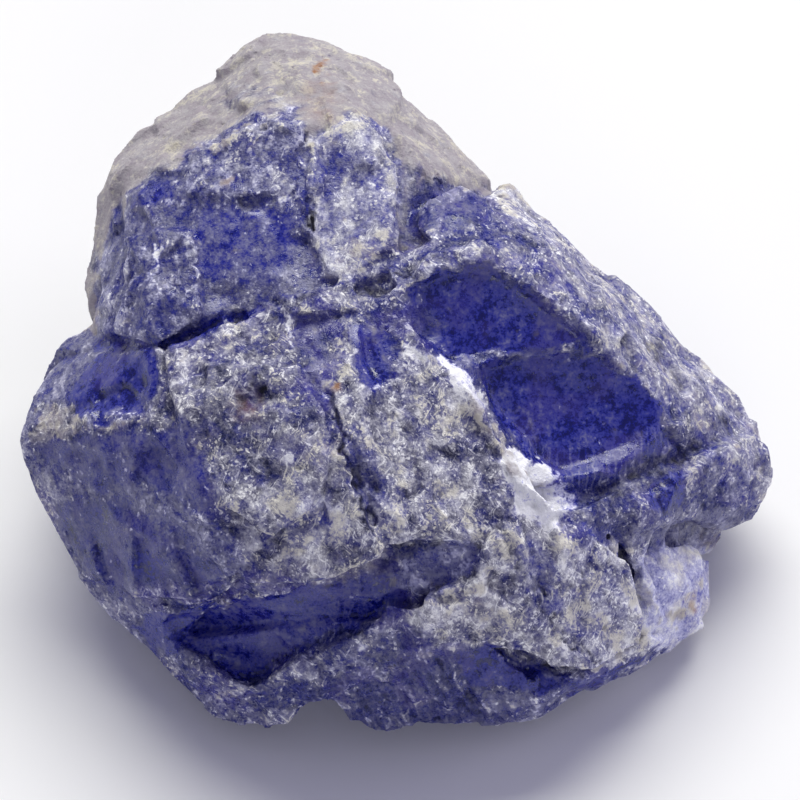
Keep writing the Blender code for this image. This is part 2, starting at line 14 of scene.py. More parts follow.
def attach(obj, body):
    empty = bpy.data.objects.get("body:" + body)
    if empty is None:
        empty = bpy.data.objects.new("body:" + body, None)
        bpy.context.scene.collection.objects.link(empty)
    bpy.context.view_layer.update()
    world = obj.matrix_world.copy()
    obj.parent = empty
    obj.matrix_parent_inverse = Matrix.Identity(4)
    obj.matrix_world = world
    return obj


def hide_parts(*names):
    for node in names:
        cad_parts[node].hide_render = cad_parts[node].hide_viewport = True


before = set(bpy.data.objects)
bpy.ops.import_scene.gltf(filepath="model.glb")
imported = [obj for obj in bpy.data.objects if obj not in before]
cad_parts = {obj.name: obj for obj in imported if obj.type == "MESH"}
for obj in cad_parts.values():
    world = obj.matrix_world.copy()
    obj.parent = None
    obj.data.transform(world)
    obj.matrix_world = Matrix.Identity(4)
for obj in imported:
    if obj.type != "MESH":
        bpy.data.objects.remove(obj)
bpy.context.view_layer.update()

# Sizes, in millimetres unless they say otherwise
MM = 0.001
VIEW_ELEVATION = 55.0
REST_HEIGHT = 9.0
DRAWING_CENTRE = (-0.11705, 2.30544)
PICTURE_WIDTH = 32.0
BLOCK_FOOT = 4.0
BACK_FACE = 5.5
SKIN_CELL = 0.1
STONE_TRIANGLES = 194000
HIDDEN_THINNING = 0.7
HIDDEN_NORMAL = -0.15
SHARP_ANGLE = math.radians(24.0)
FAR = 1e6
TILT = math.radians(VIEW_ELEVATION)
TO_GROUND = (
    Matrix.Scale(MM, 4)
    @ Matrix.Translation((-DRAWING_CENTRE[0], -DRAWING_CENTRE[1], REST_HEIGHT))
    @ Matrix.Rotation(math.pi / 2 - TILT, 4, "X")
)

# Fine relief, in millimetres
ROUGH_SIZE = 0.35
ROUGH_DEPTH = 0.014
FLAKE_SIZE = 0.95
FLAKE_DEPTH = 0.09
FLAKE_STRAY = 0.35
CHIP_SIZE = 0.34
CHIP_DEPTH = 0.03
CHIP_STRAY = 0.2
RIPPLE_SIZE = 1.3
RIPPLE_DEPTH = 0.035
STREAK_PITCH = 0.3
STREAK_DEPTH = 0.04
RIDGE_HEIGHT = 0.16
BROAD_WANDER = 0.36
NARROW_WANDER = 0.2
BUMP_HEIGHT = 0.07

# How far the lines of growth lean from upright, above and below BLOCK_FOOT, in degrees: drawn and in relief
GRAIN_LEANS = (4.0, 24.0)
STREAK_LEANS = (3.0, 25.0)

# Seeds of the clouds of noise, one for each axis where there are several
SEEDS = {
    "broad wander": (1.0, 2.0),
    "streaks": 3.0,
    "roughness": 4.0,
    "ripples": 5.0,
    "cap edge": 6.0,
    "narrow wander": (7.0, 8.0),
    "flakes": (9.0, 10.0, 11.0),
    "broad cloud": 12.0,
    "medium cloud": 13.0,
    "needles": (14.0, 15.0, 16.0),
    "bare": 17.0,
    "crust": 18.0,
    "patches": 20.0,
    "cream": 21.0,
}

# The qualities of a plain spot: dust on it, how clear, hazy and milky the crystal is, the weathered cap,
# white chalk and painted glints, rust, fine lines of growth, lines in rows like a comb,
# and dirt together with painted shade
PLAIN = {
    "dust": 0.5,
    "clear": 0.25,
    "haze": 0.35,
    "milk": 0.0,
    "cap": 0.0,
    # White chalk, together with painted glints where light catches small chips
    "chalk": 0.0,
    "rust": 0.0,
    "streak": 0.0,
    "comb": 0.0,
    # Dirt, together with painted shade in creases, pits, grooves and under the toe
    "dirt": 0.0,
}


def face(outline, edge, **changes):
    return outline, edge, changes


def line(points, half_width, relief, **changes):
    return points, half_width, relief, changes


def mark(middle, radius, **changes):
    return middle, radius, changes


# Faces of the front, later ones on top of earlier ones. Each has its outline, how far its edge fades and
# what it changes in PLAIN.
FACES = {
    "weathered cap": face(
        [(-4.4, 15.4), (-2, 14.8), (0.4, 13), (2, 11.4), (3.6, 10), (4.8, 9.4), (4.2, 8.32), (2.8, 8.72),
         (1.2, 9.12), (0.48, 8.2), (0.08, 9.4), (-0.32, 10.72), (-1.4, 11.28), (-2.8, 11.12), (-4, 10.4),
         (-4.4, 11.52), (-5.52, 11.28), (-6.4, 10.88), (-7.8, 10.4), (-8.8, 9.4), (-10, 8.6), (-10.8, 8),
         (-11.52, 6.8), (-12, 5.8), (-12.24, 4.4), (-12.08, 2.8), (-13.6, 3.2), (-13.6, 5.2), (-13.2, 7.2),
         (-12.4, 10), (-10.4, 11.4), (-8.8, 12.8), (-7.4, 14.2), (-6.2, 15.4)],
        edge=0.5, cap=1.0, dust=0.45, haze=0.9, clear=0.05),
    "cap over the plate": face(
        [(-7, 12.2), (-5.6, 12.8), (-4, 12.2), (-4.16, 10.8), (-5.52, 10.88), (-6.8, 11)],
        edge=0.6, cap=0.65, haze=0.8, dust=0.3),
    "upper block": face(
        [(-12.08, 5.8), (-11.52, 6.8), (-10.8, 8), (-10, 8.6), (-8.8, 9.4), (-7.8, 10.4), (-6.4, 10.88),
         (-5.52, 11.28), (-4.4, 11.52), (-4, 10.4), (-3.76, 8), (-3.2, 5.52), (-2.2, 4.6), (-4, 4.32),
         (-7.4, 3), (-9.4, 2.2), (-12, 2.32)],
        edge=0.5, cap=0.0, dust=0.2, haze=0.62, clear=0.42, streak=0.5),
    "glossy hollow": face(
        [(-8.08, 7.4), (-6.4, 7.8), (-4.32, 7), (-4.08, 6), (-5, 4.56), (-6.8, 4.32), (-8, 4.88)],
        edge=0.3, clear=0.75, haze=0.62, dust=0.06, streak=0.25),
    "upper plate": face(
        [(-8.2, 10.2), (-6, 11), (-4.32, 11.6), (-4.08, 10), (-4, 8), (-6.4, 7.76), (-7.8, 7.68),
         (-8.4, 8.8)],
        edge=0.2, dust=0.36, haze=0.7, clear=0.4, streak=0.4),
    "chip by the cap": face(
        [(-10.72, 7.8), (-10.4, 8.32), (-9.28, 8.56), (-9.2, 8.12), (-10, 7.68)],
        edge=0.1, clear=0.7, haze=0.25, dust=0.1),
    "upper left panels": face(
        [(-12, 5.68), (-10.6, 6.4), (-8.4, 5.52), (-8.2, 4), (-9.6, 2.32), (-12, 2.4)],
        edge=0.2, dust=0.28, haze=0.64, clear=0.45, streak=0.7),
    "shade under the upper block": face(
        [(-8, 4.4), (-6, 4.56), (-4, 4.32), (-5.6, 3.8), (-7.6, 3.12)],
        edge=0.3, haze=0.75, dust=0.15, clear=0.3, streak=0.0),
    "tooth": face(
        [(-3.88, 10), (-2.8, 10.88), (-1.6, 11.28), (-0.48, 10.6), (0, 9.2), (0, 7.4), (-0.4, 6), (-1.2, 5),
         (-2.2, 4.68), (-3.12, 5.4), (-3.28, 6.72), (-3.76, 8)],
        edge=0.2, dust=0.5, haze=0.97, clear=0.15, milk=0.2, streak=0.4, cap=0.0),
    "bare side of the tooth": face(
        [(-3.52, 10), (-2.6, 10.6), (-2, 10), (-2.72, 7.8), (-3.52, 8)],
        edge=0.3, dust=0.3, haze=0.55, clear=0.3),
    "dusty foot of the tooth": face(
        [(-2.2, 6.4), (-0.4, 6.6), (-1.12, 4.96), (-2.2, 4.64), (-2.6, 5.52)],
        edge=0.3, dust=0.85, haze=0.8, cap=0.3),
    "recess": face(
        [(0, 9.4), (0.8, 9.4), (1, 8), (0.2, 6.2), (-0.8, 5), (-0.32, 6.4), (0.08, 7.6)],
        edge=0.25, dust=0.15, haze=0.75, clear=0.2, cap=0.3),
    "wedge": face(
        [(0.48, 7.8), (1.6, 8.56), (2.8, 8.4), (3.68, 7.68), (3.28, 7.04), (1.6, 6.32), (0.48, 6.56)],
        edge=0.15, dust=0.22, haze=0.35, clear=0.5, cap=0.0, streak=0.3),
    "clear edge of the wedge": face(
        [(1, 6.4), (2.2, 6.88), (3.6, 7.12), (2.8, 6.64), (1.6, 6.28)],
        edge=0.08, clear=1.0, haze=0.0, dust=0.0),
    "right shoulder": face(
        [(4, 8.56), (5.6, 8.2), (8.4, 5.4), (10.8, 4.4), (12.6, 1.6), (14.6, -0.8), (16, -2.8),
         (15.6, -5.2), (13.8, -4.2), (12.2, -1.8), (10.88, -0.32), (9.6, 0.92), (8.24, 2.2), (7.92, 3.28),
         (6.4, 5.12), (4.8, 6.96), (3.8, 7.76)],
        edge=0.3, dust=0.5, haze=0.72, clear=0.1, cap=0.2, milk=0.15),
    "dusty top of the shoulder": face(
        [(4, 8.56), (5.6, 8.16), (7.2, 6.4), (6.48, 5.84), (5, 7.12), (3.92, 7.84)],
        edge=0.3, dust=0.7, haze=0.9),
    "crest": face(
        [(-0.96, 4.4), (-0.32, 6.16), (1.2, 6.56), (3.6, 7.36), (4.8, 6.96), (6.4, 5.12), (8, 3.12),
         (8.16, 1.92), (7.44, 2.32), (6.4, 3.92), (5.2, 4.72), (3.6, 5.52), (2.4, 5.52), (1, 5.04),
         (0, 4.24)],
        edge=0.15, dust=0.6, haze=0.4, clear=0.15, milk=0.1),
    "pale start of the crest": face(
        [(0, 5.52), (0.48, 6.16), (2, 6.4), (2.4, 5.76), (1.2, 5.28), (0.2, 4.72)],
        edge=0.15, dust=0.7, cap=0.15),
    "upper window": face(
        [(-0.08, 4.24), (1, 4.8), (2.48, 5.24), (3.28, 5.32), (5.2, 4.2), (6.8, 3.12), (7.6, 2.16),
         (5.8, 1.84), (3.2, 1.68), (1.88, 1.36), (0.72, 2.48)],
        edge=0.08, clear=1.0, haze=0.25, dust=0.02, streak=0.0),
    "lower window": face(
        [(3.28, 1.36), (5.8, 1.76), (7.68, 1.92), (9.52, 0.72), (10.56, -0.4), (10.4, -1.28), (9.6, -1.92),
         (7.6, -2.72), (6.32, -2.96), (4.8, -1.64), (3.6, -0.16)],
        edge=0.08, clear=1.0, haze=0.16, dust=0.02, streak=0.0),
    "combed ledge": face(
        [(4.2, -1), (6.4, -2), (8, -1.8), (10, -1.12), (10.72, -1.6), (9.6, -2.8), (7.6, -3.6), (6, -3.28)],
        edge=0.25, clear=0.75, haze=0.1, dust=0.12, streak=0.5, comb=1.0),
    "ledge beside the windows": face(
        [(0.08, 4.16), (1, 3.8), (1.6, 2), (3.2, 1.4), (3.12, 0.6), (2, 1.12), (0.8, 2.2)],
        edge=0.2, clear=0.6, haze=0.3, dust=0.35),
    "broad dusty facet": face(
        [(-10, 2), (-7.4, 3), (-4, 4.32), (-1.12, 4.48), (0.08, 4), (-2.2, 2.2), (-2.4, 0), (-1.8, -2.8),
         (-1, -5.2), (-0.48, -6.08), (-2, -7.28), (-4, -7.12), (-6, -6.48), (-7.4, -4.48), (-8, -2.8),
         (-10, -1), (-10.4, 0.8)],
        edge=0.2, dust=0.74, haze=0.46, clear=0.1, streak=0.3),
    "bare patch low on the facet": face(
        [(-4, -4), (-3, -3.6), (-2, -4.8), (-2.2, -5.8), (-3.6, -5.6)],
        edge=0.3, dust=0.25, haze=0.4, clear=0.4),
    "bare patch by the groove": face(
        [(-4, 2.2), (-2.8, 2.48), (-2.56, 0.8), (-3.28, -0.8), (-4, 0)],
        edge=0.3, dust=0.4, haze=0.3, clear=0.3),
    "dusty lower edge of the facet": face(
        [(-4.4, -6.32), (-2, -5.8), (-0.32, -5.8), (-0.48, -6.64), (-2.4, -7.44), (-4, -7.12)],
        edge=0.2, dust=0.88, cap=0.25),
    # Painted light: paler to make up for the shade this part gets as the facet leans down
    "lower part of the facet, painted paler": face(
        [(-7, -3.8), (-4, -2.8), (-1.6, -4.8), (-2.4, -6.4), (-5.2, -6.4)],
        edge=0.5, dust=0.85, haze=0.85),
    "striated facet": face(
        [(-2.2, 2.2), (-1.12, 4), (0.2, 2.8), (1.6, 1.2), (3.2, -0.4), (5.2, -3.6), (6.08, -4.8),
         (4, -5.84), (0, -5.84), (-0.96, -5.2), (-1.76, -2.8), (-2.4, 0)],
        edge=0.2, dust=0.85, haze=0.58, clear=0.1, streak=0.7),
    "bluish head of the striated facet": face(
        [(-2, 3.76), (-1, 4.16), (0.08, 3.92), (0.48, 2.96), (0, 2), (-2, 2.4)],
        edge=0.2, dust=0.5, haze=0.26, clear=0.35),
    "blue patch": face(
        [(-2, 2.72), (-0.96, 3.12), (-0.16, 2.32), (-0.16, 1.04), (-1.12, 0.56), (-1.76, 1.28)],
        edge=0.15, dust=0.12, haze=0.3, clear=0.8),
    "bluish corner": face(
        [(-4, 3.28), (-2.88, 3.76), (-2.4, 2.8), (-3.12, 2.2), (-3.8, 2.4)],
        edge=0.2, dust=0.35, haze=0.25, clear=0.5),
    "bare lower part of the groove": face(
        [(-2.32, -0.8), (-1.44, -1.84), (-0.08, -3.2), (0.08, -4.32), (-0.8, -5.12), (-1.36, -4.2),
         (-1.84, -2.8)],
        edge=0.2, dust=0.4, haze=0.6, clear=0.3),
    # The white rib, the chip above it and its chalky end: white chalk, partly a painted highlight where the
    # bevel catches the light
    "white rib": face(
        [(1.44, 1.6), (1.92, 1.72), (2.48, 1.12), (3.12, 0.4), (3.4, -0.2), (2.96, -0.24), (2.32, 0.32),
         (1.76, 0.96)],
        edge=0.12, chalk=1.2, dust=1.0),
    "chip above the white rib": face(
        [(0.32, 2.16), (0.72, 2.16), (0.88, 1.84), (0.64, 1.6), (0.36, 1.76)],
        edge=0.1, chalk=1.2, dust=1.0),
    "chalky end of the rib": face(
        [(4, -2), (4.8, -2.08), (5.92, -2.72), (6.96, -3.84), (6.64, -4.64), (5.6, -4.88), (4.64, -4.32),
         (4.16, -3.2)],
        edge=0.15, chalk=1.25, dust=0.9, milk=0.4, haze=0.8, clear=0.0, comb=0.0),
    "far left facet": face(
        [(-15.2, -1), (-14.2, 1.4), (-13.36, 2.48), (-12, 3.12), (-11.68, 2.16), (-12.32, 1.36),
         (-13.12, 0.16), (-14, -0.48)],
        edge=0.2, dust=0.14, haze=0.78, clear=0.4, streak=0.4),
    "left window": face(
        [(-13.12, -0.16), (-12.64, 1.04), (-11.84, 1.76), (-9.92, 2), (-9.44, 1.52), (-10, -0.08),
         (-10.48, -0.48), (-12.2, -0.96), (-13.12, -1.28)],
        edge=0.15, dust=0.12, haze=0.12, clear=0.9, streak=0.3),
    "crusty corner": face(
        [(-15.04, -1.44), (-14.16, -0.24), (-12.96, -0.32), (-12.64, -1.12), (-13.6, -1.52),
         (-14.48, -1.92)],
        edge=0.12, dust=0.95, cap=0.5, haze=0.5, clear=0.0),
    "dusty ledge": face(
        [(-12.8, -0.72), (-10, -0.16), (-9.6, -0.8), (-10.8, -1.36), (-12.64, -1.44)],
        edge=0.15, dust=0.75, haze=0.3),
    "left facet": face(
        [(-14.4, -1.92), (-12, -1.36), (-8.4, -1.12), (-7.84, -2.8), (-7.36, -4.48), (-8.48, -4.08),
         (-10, -3.44), (-11.2, -3.68), (-12.4, -3.44), (-13.6, -3.2)],
        edge=0.3, dust=0.14, haze=0.42, clear=0.65, streak=0.35),
    "left rim": face(
        [(-15.2, -1.6), (-13.6, -2.8), (-12, -3.8), (-13.6, -4.48), (-14.8, -3.2)],
        edge=0.2, dust=0.2, haze=0.9, clear=0.3),
    "hazy streaked facet": face(
        [(-11.28, -3.6), (-9.6, -3.6), (-7.92, -4.48), (-6, -6.4), (-6.48, -6.88), (-8, -5.84),
         (-9.6, -4.88), (-11.36, -4.48)],
        edge=0.25, dust=0.12, haze=0.8, clear=0.5, streak=0.3),
    "lower left facet": face(
        [(-13.76, -4.2), (-11.28, -4), (-9.2, -5.2), (-6.72, -7.28), (-7.44, -8.08), (-10, -8.08),
         (-12, -7.84), (-13.12, -5.92)],
        edge=0.3, dust=0.15, haze=0.34, clear=0.6, streak=0.5),
    "hazy lower left rim": face(
        [(-13.6, -6.4), (-12, -7.6), (-10, -8.48), (-9.2, -10), (-10.4, -10.4), (-12.4, -8.8)],
        edge=0.3, dust=0.35, haze=0.75, clear=0.4),
    "small clear spot": face(
        [(-10.72, -6.4), (-10, -6.08), (-9.44, -6.4), (-9.84, -7.04), (-10.48, -6.96)],
        edge=0.1, clear=1.0, haze=0.0, dust=0.0),
    "foot window": face(
        [(-10.56, -9.12), (-10, -8.48), (-8, -8.28), (-6, -7.84), (-4, -7.28), (-1.2, -7.08),
         (-0.32, -7.68), (-0.24, -8.48), (-2.4, -9.08), (-3.92, -9.68), (-5.2, -10.68), (-6.4, -11.08),
         (-7.4, -10.48), (-8.72, -9.6), (-9.12, -10.4), (-10, -10)],
        edge=0.12, dust=0.03, haze=0.43, clear=0.95),
    "combed end of the foot window": face(
        [(-2.8, -8), (-0.2, -7.84), (0, -9), (-2, -9.6), (-3.2, -9.2)],
        edge=0.2, streak=0.6, haze=0.22, dust=0.2, comb=0.8),
    "dusty sill of the foot window": face(
        [(-10.4, -7.52), (-8, -7.36), (-4, -7.04), (-3.6, -7.36), (-6, -7.84), (-8, -8.24), (-10, -8.24)],
        edge=0.12, dust=0.6, haze=0.3, clear=0.3),
    "foot": face(
        [(-10, -10.48), (-8.4, -10.2), (-7.2, -11.28), (-5.52, -11.28), (-4, -10.48), (-2.8, -9.68),
         (-0.32, -9.08), (0.08, -9.6), (-1.2, -10.6), (-2.8, -11.68), (-4, -12.08), (-5.2, -13.2),
         (-7.2, -13.4), (-8.4, -12.4), (-9.4, -11.4)],
        edge=0.15, dust=0.52, haze=0.45, clear=0.3),
    "ribbed foot": face(
        [(-4, -12.08), (-2.4, -10.88), (0, -10.2), (1.6, -10), (3.2, -12), (4, -13.6), (-1.6, -13.8),
         (-2.6, -12.8)],
        edge=0.2, dust=0.3, haze=0.25, clear=0.45, streak=0.8, comb=0.5),
    "right part of the foot": face(
        [(3.2, -12), (5.6, -11.6), (8, -11.12), (10, -10.48), (12.6, -8.8), (13.2, -10), (9.6, -12),
         (5.6, -13.4), (3.6, -13.6)],
        edge=0.2, dust=0.38, haze=0.6, clear=0.5),
    "hollow over the foot": face(
        [(2.08, -10.08), (3.6, -9.68), (5.2, -10.2), (6.72, -11.2), (5.6, -11.68), (3.6, -11.44),
         (2.4, -10.88)],
        edge=0.12, dust=0.06, haze=0.12, clear=0.85),
    "clear streak over the foot": face(
        [(6.48, -11.36), (8.16, -10.8), (10, -10.08), (9.6, -10.56), (8, -11.28), (6.8, -11.6)],
        edge=0.08, dust=0.0, haze=0.0, clear=1.0),
    "grainy ridge": face(
        [(0.6, -8.08), (1.6, -7.6), (3.6, -6.4), (4, -5.28), (6.4, -4.4), (8.08, -4.8), (9.6, -6.4),
         (10, -8.4), (9.8, -10), (8, -10.72), (6.48, -10.88), (4.8, -10.2), (3.6, -9.68), (2, -9.6),
         (0.72, -9)],
        edge=0.2, dust=0.88, haze=0.66, clear=0.1, streak=0.5),
    "right part of the ridge": face(
        [(6.4, -5.2), (8.08, -5), (9.6, -6.4), (10, -8.4), (9.8, -10), (8, -10.72), (6.6, -10.2),
         (6.24, -8)],
        edge=0.3, haze=0.82, milk=0.15),
    "pocket": face(
        [(4.6, -5.92), (5.4, -5.36), (6, -6.4), (6.48, -8), (6, -8.64), (5.2, -7.6), (4.64, -6.72)],
        edge=0.12, dust=0.4, haze=0.72, clear=0.15, milk=0.2),
    "cream patch": face(
        [(2.2, -7.6), (3.6, -7.2), (4.2, -8.4), (3.2, -9.12), (2.2, -8.6)],
        edge=0.25, dust=0.95, cap=0.3),
    "small window": face(
        [(-0.48, -6.88), (0.8, -6), (2.8, -5.6), (3.36, -6.24), (2.8, -7.04), (1.6, -7.44), (0.32, -7.68)],
        edge=0.12, dust=0.12, haze=1.02, clear=0.8, streak=0.4),
    "clear notch": face(
        [(-0.96, -7.2), (-0.24, -6.88), (0.32, -7.76), (0, -8.48), (-0.64, -8.24)],
        edge=0.12, dust=0.05, haze=0.03, clear=0.95),
    "toe": face(
        [(6.4, -4), (9.6, -2.64), (12, -1.44), (13.8, -2.8), (14.4, -4.2), (12, -4.48), (10, -5.28),
         (8, -5.8), (6.4, -5.2)],
        edge=0.2, dust=0.5, haze=0.4, clear=0.3, streak=0.6),
    "clear patch of the toe": face(
        [(9.8, -3.12), (11.2, -2.64), (11.6, -3.84), (10.6, -4.4), (9.92, -4)],
        edge=0.15, clear=0.85, haze=0.05, dust=0.1),
    # Painted shadow in the groove between the ledge and the toe
    "painted shadow in the groove by the toe": face(
        [(7.92, -4), (9.6, -2.56), (11.2, -1.52), (12.08, -1.92), (10.56, -2.96), (8.64, -4.48)],
        edge=0.1, dust=0.15, haze=0.5, clear=0.2, dirt=0.3),
    # The shade under the overhanging toe is painted into its colour
    "under the toe": face(
        [(8.6, -5.68), (10.4, -4.64), (12.88, -4.4), (13.92, -4.88), (13.2, -5.92), (12, -6.4),
         (10.4, -5.84)],
        edge=0.15, dust=0.12, haze=0.95, clear=0.4, dirt=0.2),
    # Painted glow: very pale and milky, standing for light coming through the thin corner
    "rounded corner": face(
        [(9.44, -6.6), (10.4, -5.84), (12.8, -6.08), (13.2, -8), (12.24, -9.6), (10.72, -10.08),
         (9.8, -9.6), (9.52, -8)],
        edge=0.25, dust=0.35, haze=1.5, clear=0.2, milk=0.75, cap=0.0),
    "clear pit by the rib": face(
        [(5.84, -3.44), (6.4, -3.2), (6.88, -3.68), (6.48, -4.12), (5.92, -4)],
        edge=0.06, clear=1.0, haze=0.0, dust=0.0),
}

# Where the fine lines of growth lean otherwise, in degrees from upright
LEANS = {
    "combed ledge": (
        [(4.2, -1), (6.4, -1.6), (8, -1.6), (10.8, -0.8), (11.2, -1.6), (9.6, -3.2), (7.6, -4),
         (5.8, -3.6)],
        2.0,
    ),
    "hazy streaked facet": (
        [(-11.28, -3.6), (-9.6, -3.44), (-7.84, -4.32), (-5.8, -6.4), (-6.48, -7), (-8, -6), (-10, -4.88),
         (-11.52, -4.6)],
        62.0,
    ),
    "end of the foot window": (
        [(-2.8, -8), (-0.2, -7.6), (0.2, -9.2), (-2, -9.8)],
        -8.0,
    ),
}

# Lines on the front, with their relief (plus is a ridge) and what they change in PLAIN
LINES = {
    # Painted shadow in the gap behind the edge of the dusty facet, drawn as a dark clear line
    "painted shadow in the gap under the upper block": line(
        [(-12, 2.2), (-9.4, 2.2), (-7.4, 2.96), (-5.52, 3.68)],
        half_width=0.2, relief=-0.04, dust=0.0, clear=0.9, haze=0.15),
    "right end of the gap": line(
        [(-5.52, 3.68), (-4, 4.32), (-1.12, 4.56)],
        half_width=0.16, relief=0.0, dust=0.3, haze=0.5),
    "left edge of the upper window": line(
        [(-0.08, 3.2), (0.32, 2.2), (1.6, 1.52)],
        half_width=0.2, relief=0.03, dust=0.7),
    "rib between its white ends": line(
        [(2.8, 0), (3.6, -1.28), (4.96, -3.2)],
        half_width=0.16, relief=0.04, dust=1.2, cap=0.6),
    # The next five lines are painted glints: thin white marks where light catches chips and edges
    "glint at the left": line(
        [(-9.88, 5.28), (-9.68, 6.24)],
        half_width=0.104, relief=0.02, chalk=1.2),
    "glint on the facet": line(
        [(-4.8, 3.6), (-4.4, 2.88), (-4.12, 2.36)],
        half_width=0.112, relief=0.02, chalk=1.2),
    "glint in a curl": line(
        [(-9.12, 0.56), (-8.56, 0.96), (-7.84, 1.08)],
        half_width=0.088, relief=0.02, chalk=1.0),
    "glint in a hook": line(
        [(-6.4, 0.16), (-6, 0.16), (-5.88, 0.48)],
        half_width=0.088, relief=0.02, chalk=1.0),
    "glint on the plate": line(
        [(-4.8, 8.08), (-4.08, 8.48)],
        half_width=0.104, relief=0.02, chalk=0.9),
    # A crack, darkened in colour as painted shadow beside the standing tooth
    "crack beside the tooth": line(
        [(-3.96, 10.4), (-3.84, 8.2), (-3.52, 6.96)],
        half_width=0.16, relief=-0.12, haze=0.6, dust=0.1),
    # Painted shadow in the groove where the dusty facet steps down to the striated one
    "painted shadow in the groove between the facets": line(
        [(-2.8, 0.2), (-2.2, -1.6), (-1.52, -4), (-1.04, -5.12)],
        half_width=0.16, relief=-0.12, dirt=0.5, dust=0.1, haze=0.3),
    "ledge between the windows": line(
        [(1.8, 1.36), (3.2, 1.68), (5.8, 1.84), (7.68, 2.12)],
        half_width=0.12, relief=0.03, dust=0.45, haze=0.6),
    "rim over the upper window": line(
        [(-0.08, 4.32), (1, 5.04), (2.48, 5.52), (3.2, 5.6)],
        half_width=0.12, relief=0.03, dust=0.8, haze=0.5),
    "crack in the left panels": line(
        [(-10.8, 5.52), (-10.76, 2.8)],
        half_width=0.12, relief=-0.08),
    "edge of the glossy hollow": line(
        [(-8.48, 6.72), (-8.32, 5.68), (-8.16, 3.2)],
        half_width=0.12, relief=0.08, dust=0.5),
    "edge of the upper plate": line(
        [(-7.68, 10), (-6, 10.72), (-5.2, 11.04)],
        half_width=0.12, relief=0.06, dust=0.8, cap=0.6),
    "lower edge of the dusty facet": line(
        [(-8.48, -4), (-7.4, -4.88), (-6, -6.4), (-4.6, -7.2)],
        half_width=0.16, relief=0.06, dust=0.5),
    "step across the left facet": line(
        [(-10, -3.44), (-8.4, -4.8), (-6.4, -6.64)],
        half_width=0.12, relief=-0.05),
    "deep edge of the foot window": line(
        [(-7.8, -10), (-7.12, -10.72), (-6.2, -11.04), (-5.12, -10.56), (-4.32, -9.8)],
        half_width=0.12, relief=-0.09, clear=1.0, haze=0.0, dust=0.0),
    "step in the foot": line(
        [(-10, -10.2), (-8, -11.6), (-6.4, -12), (-5.52, -11.84)],
        half_width=0.12, relief=-0.06, clear=0.9, haze=0.05),
    "sill of the foot window": line(
        [(-8.4, -8.24), (-6.4, -7.92), (-4, -7.36), (-3.52, -6.88)],
        half_width=0.12, relief=0.07, dust=0.9),
    "edge of the small window": line(
        [(0.4, -6.8), (1.6, -6.24), (3, -5.8)],
        half_width=0.08, relief=0.03),
    # Darkened at the step as painted shade in the pocket
    "step into the pocket": line(
        [(4, -5.28), (4.8, -6.4), (5.8, -8.4), (6.4, -9.6), (8, -10.4)],
        half_width=0.12, relief=-0.07, dirt=0.3),
    "ledge of the left mass": line(
        [(-14.88, -1.6), (-13.6, -1.2), (-12, -0.96), (-9.6, -0.72)],
        half_width=0.16, relief=0.06, dust=0.9, cap=0.4),
    "edge of the hollow over the foot": line(
        [(4, -10.2), (5.6, -10.72), (6.48, -11.28), (8, -11.04)],
        half_width=0.12, relief=0.05, haze=0.6, dust=0.3),
}

# Small marks on the front, with their middle, their radius and what they change in PLAIN
MARKS = {
    # The next ten marks are painted glints: small white marks where light catches chips
    "glint on the left panel": mark((-10.28, 5.92), 0.12, chalk=1.0),
    "glint near the cap": mark((-9.28, 7.84), 0.16, chalk=0.9),
    "glint by the hollow": mark((-8.28, 5.68), 0.12, chalk=1.0),
    "glint on the dusty facet": mark((-4.6, -2.28), 0.24, chalk=1.1),
    "glint high on the facet": mark((-3.4, 1.12), 0.16, chalk=1.1),
    "glint by the groove": mark((-3, 0.16), 0.16, chalk=1.0),
    "glint under the blue patch": mark((-0.96, 0.68), 0.24, chalk=1.1),
    "glint on the foot": mark((-3.68, -10.08), 0.24, chalk=1.1),
    "second glint on the foot": mark((-1.44, -9.92), 0.2, chalk=1.1),
    "glint by the rib": mark((2.8, 0.88), 0.24, chalk=0.8),
    "pale chip by the lower window": mark((4.08, -3.12), 0.16, chalk=0.8),
    "rust on the cap": mark((-3.12, 13.48), 0.28, rust=0.9),
    "small rust on the cap": mark((-2.88, 12.56), 0.2, rust=1.0),
    "faint rust on the cap": mark((-3.2, 12), 0.88, rust=0.2),
    "crust on the cap": mark((-4.2, 13.8), 0.36, dust=1.0, cap=1.0),
    "crust on the plate": mark((-7.12, 8.68), 0.28, dust=1.0, cap=0.9, rust=0.25),
    # Painted shade in the two pits
    "pit by the tooth": mark((-3.48, 7.12), 0.24, dirt=1.4),
    "small pit on the plate": mark((-7.96, 8.48), 0.12, dirt=1.2),
    "rusty dust": mark((-6, -0.24), 0.72, rust=0.26, dust=0.6),
    # Painted shade in the dark hole and in the pit in the foot
    "dark hole above the rusty dust": mark((-5.68, 0.72), 0.44, dirt=0.9),
    "pit in the foot": mark((-0.2, -10.56), 0.32, dirt=1.5),
    "dirt by the crest": mark((-0.88, 4.32), 0.36, dirt=0.8, dust=0.9),
    "rust on the rounded corner": mark((11.72, -8.2), 0.32, rust=0.5, dust=0.9),
    "crust on the rounded corner": mark((11.12, -8.6), 0.4, dust=0.8, cap=0.8),
    "rust at the head of the groove": mark((-2.4, 0.28), 0.16, rust=0.9),
    "faint rust in the groove": mark((-2.32, -2.08), 0.16, rust=0.4, dust=1.0),
    "brownish shade under the toe": mark((12.64, -5.8), 0.56, rust=0.15, dirt=0.4),
    "dark spot low on the shoulder": mark((12.92, -0.96), 0.32, dirt=0.7),
    "shade on the shoulder": mark((10.24, 2.28), 0.4, dirt=0.45),
}


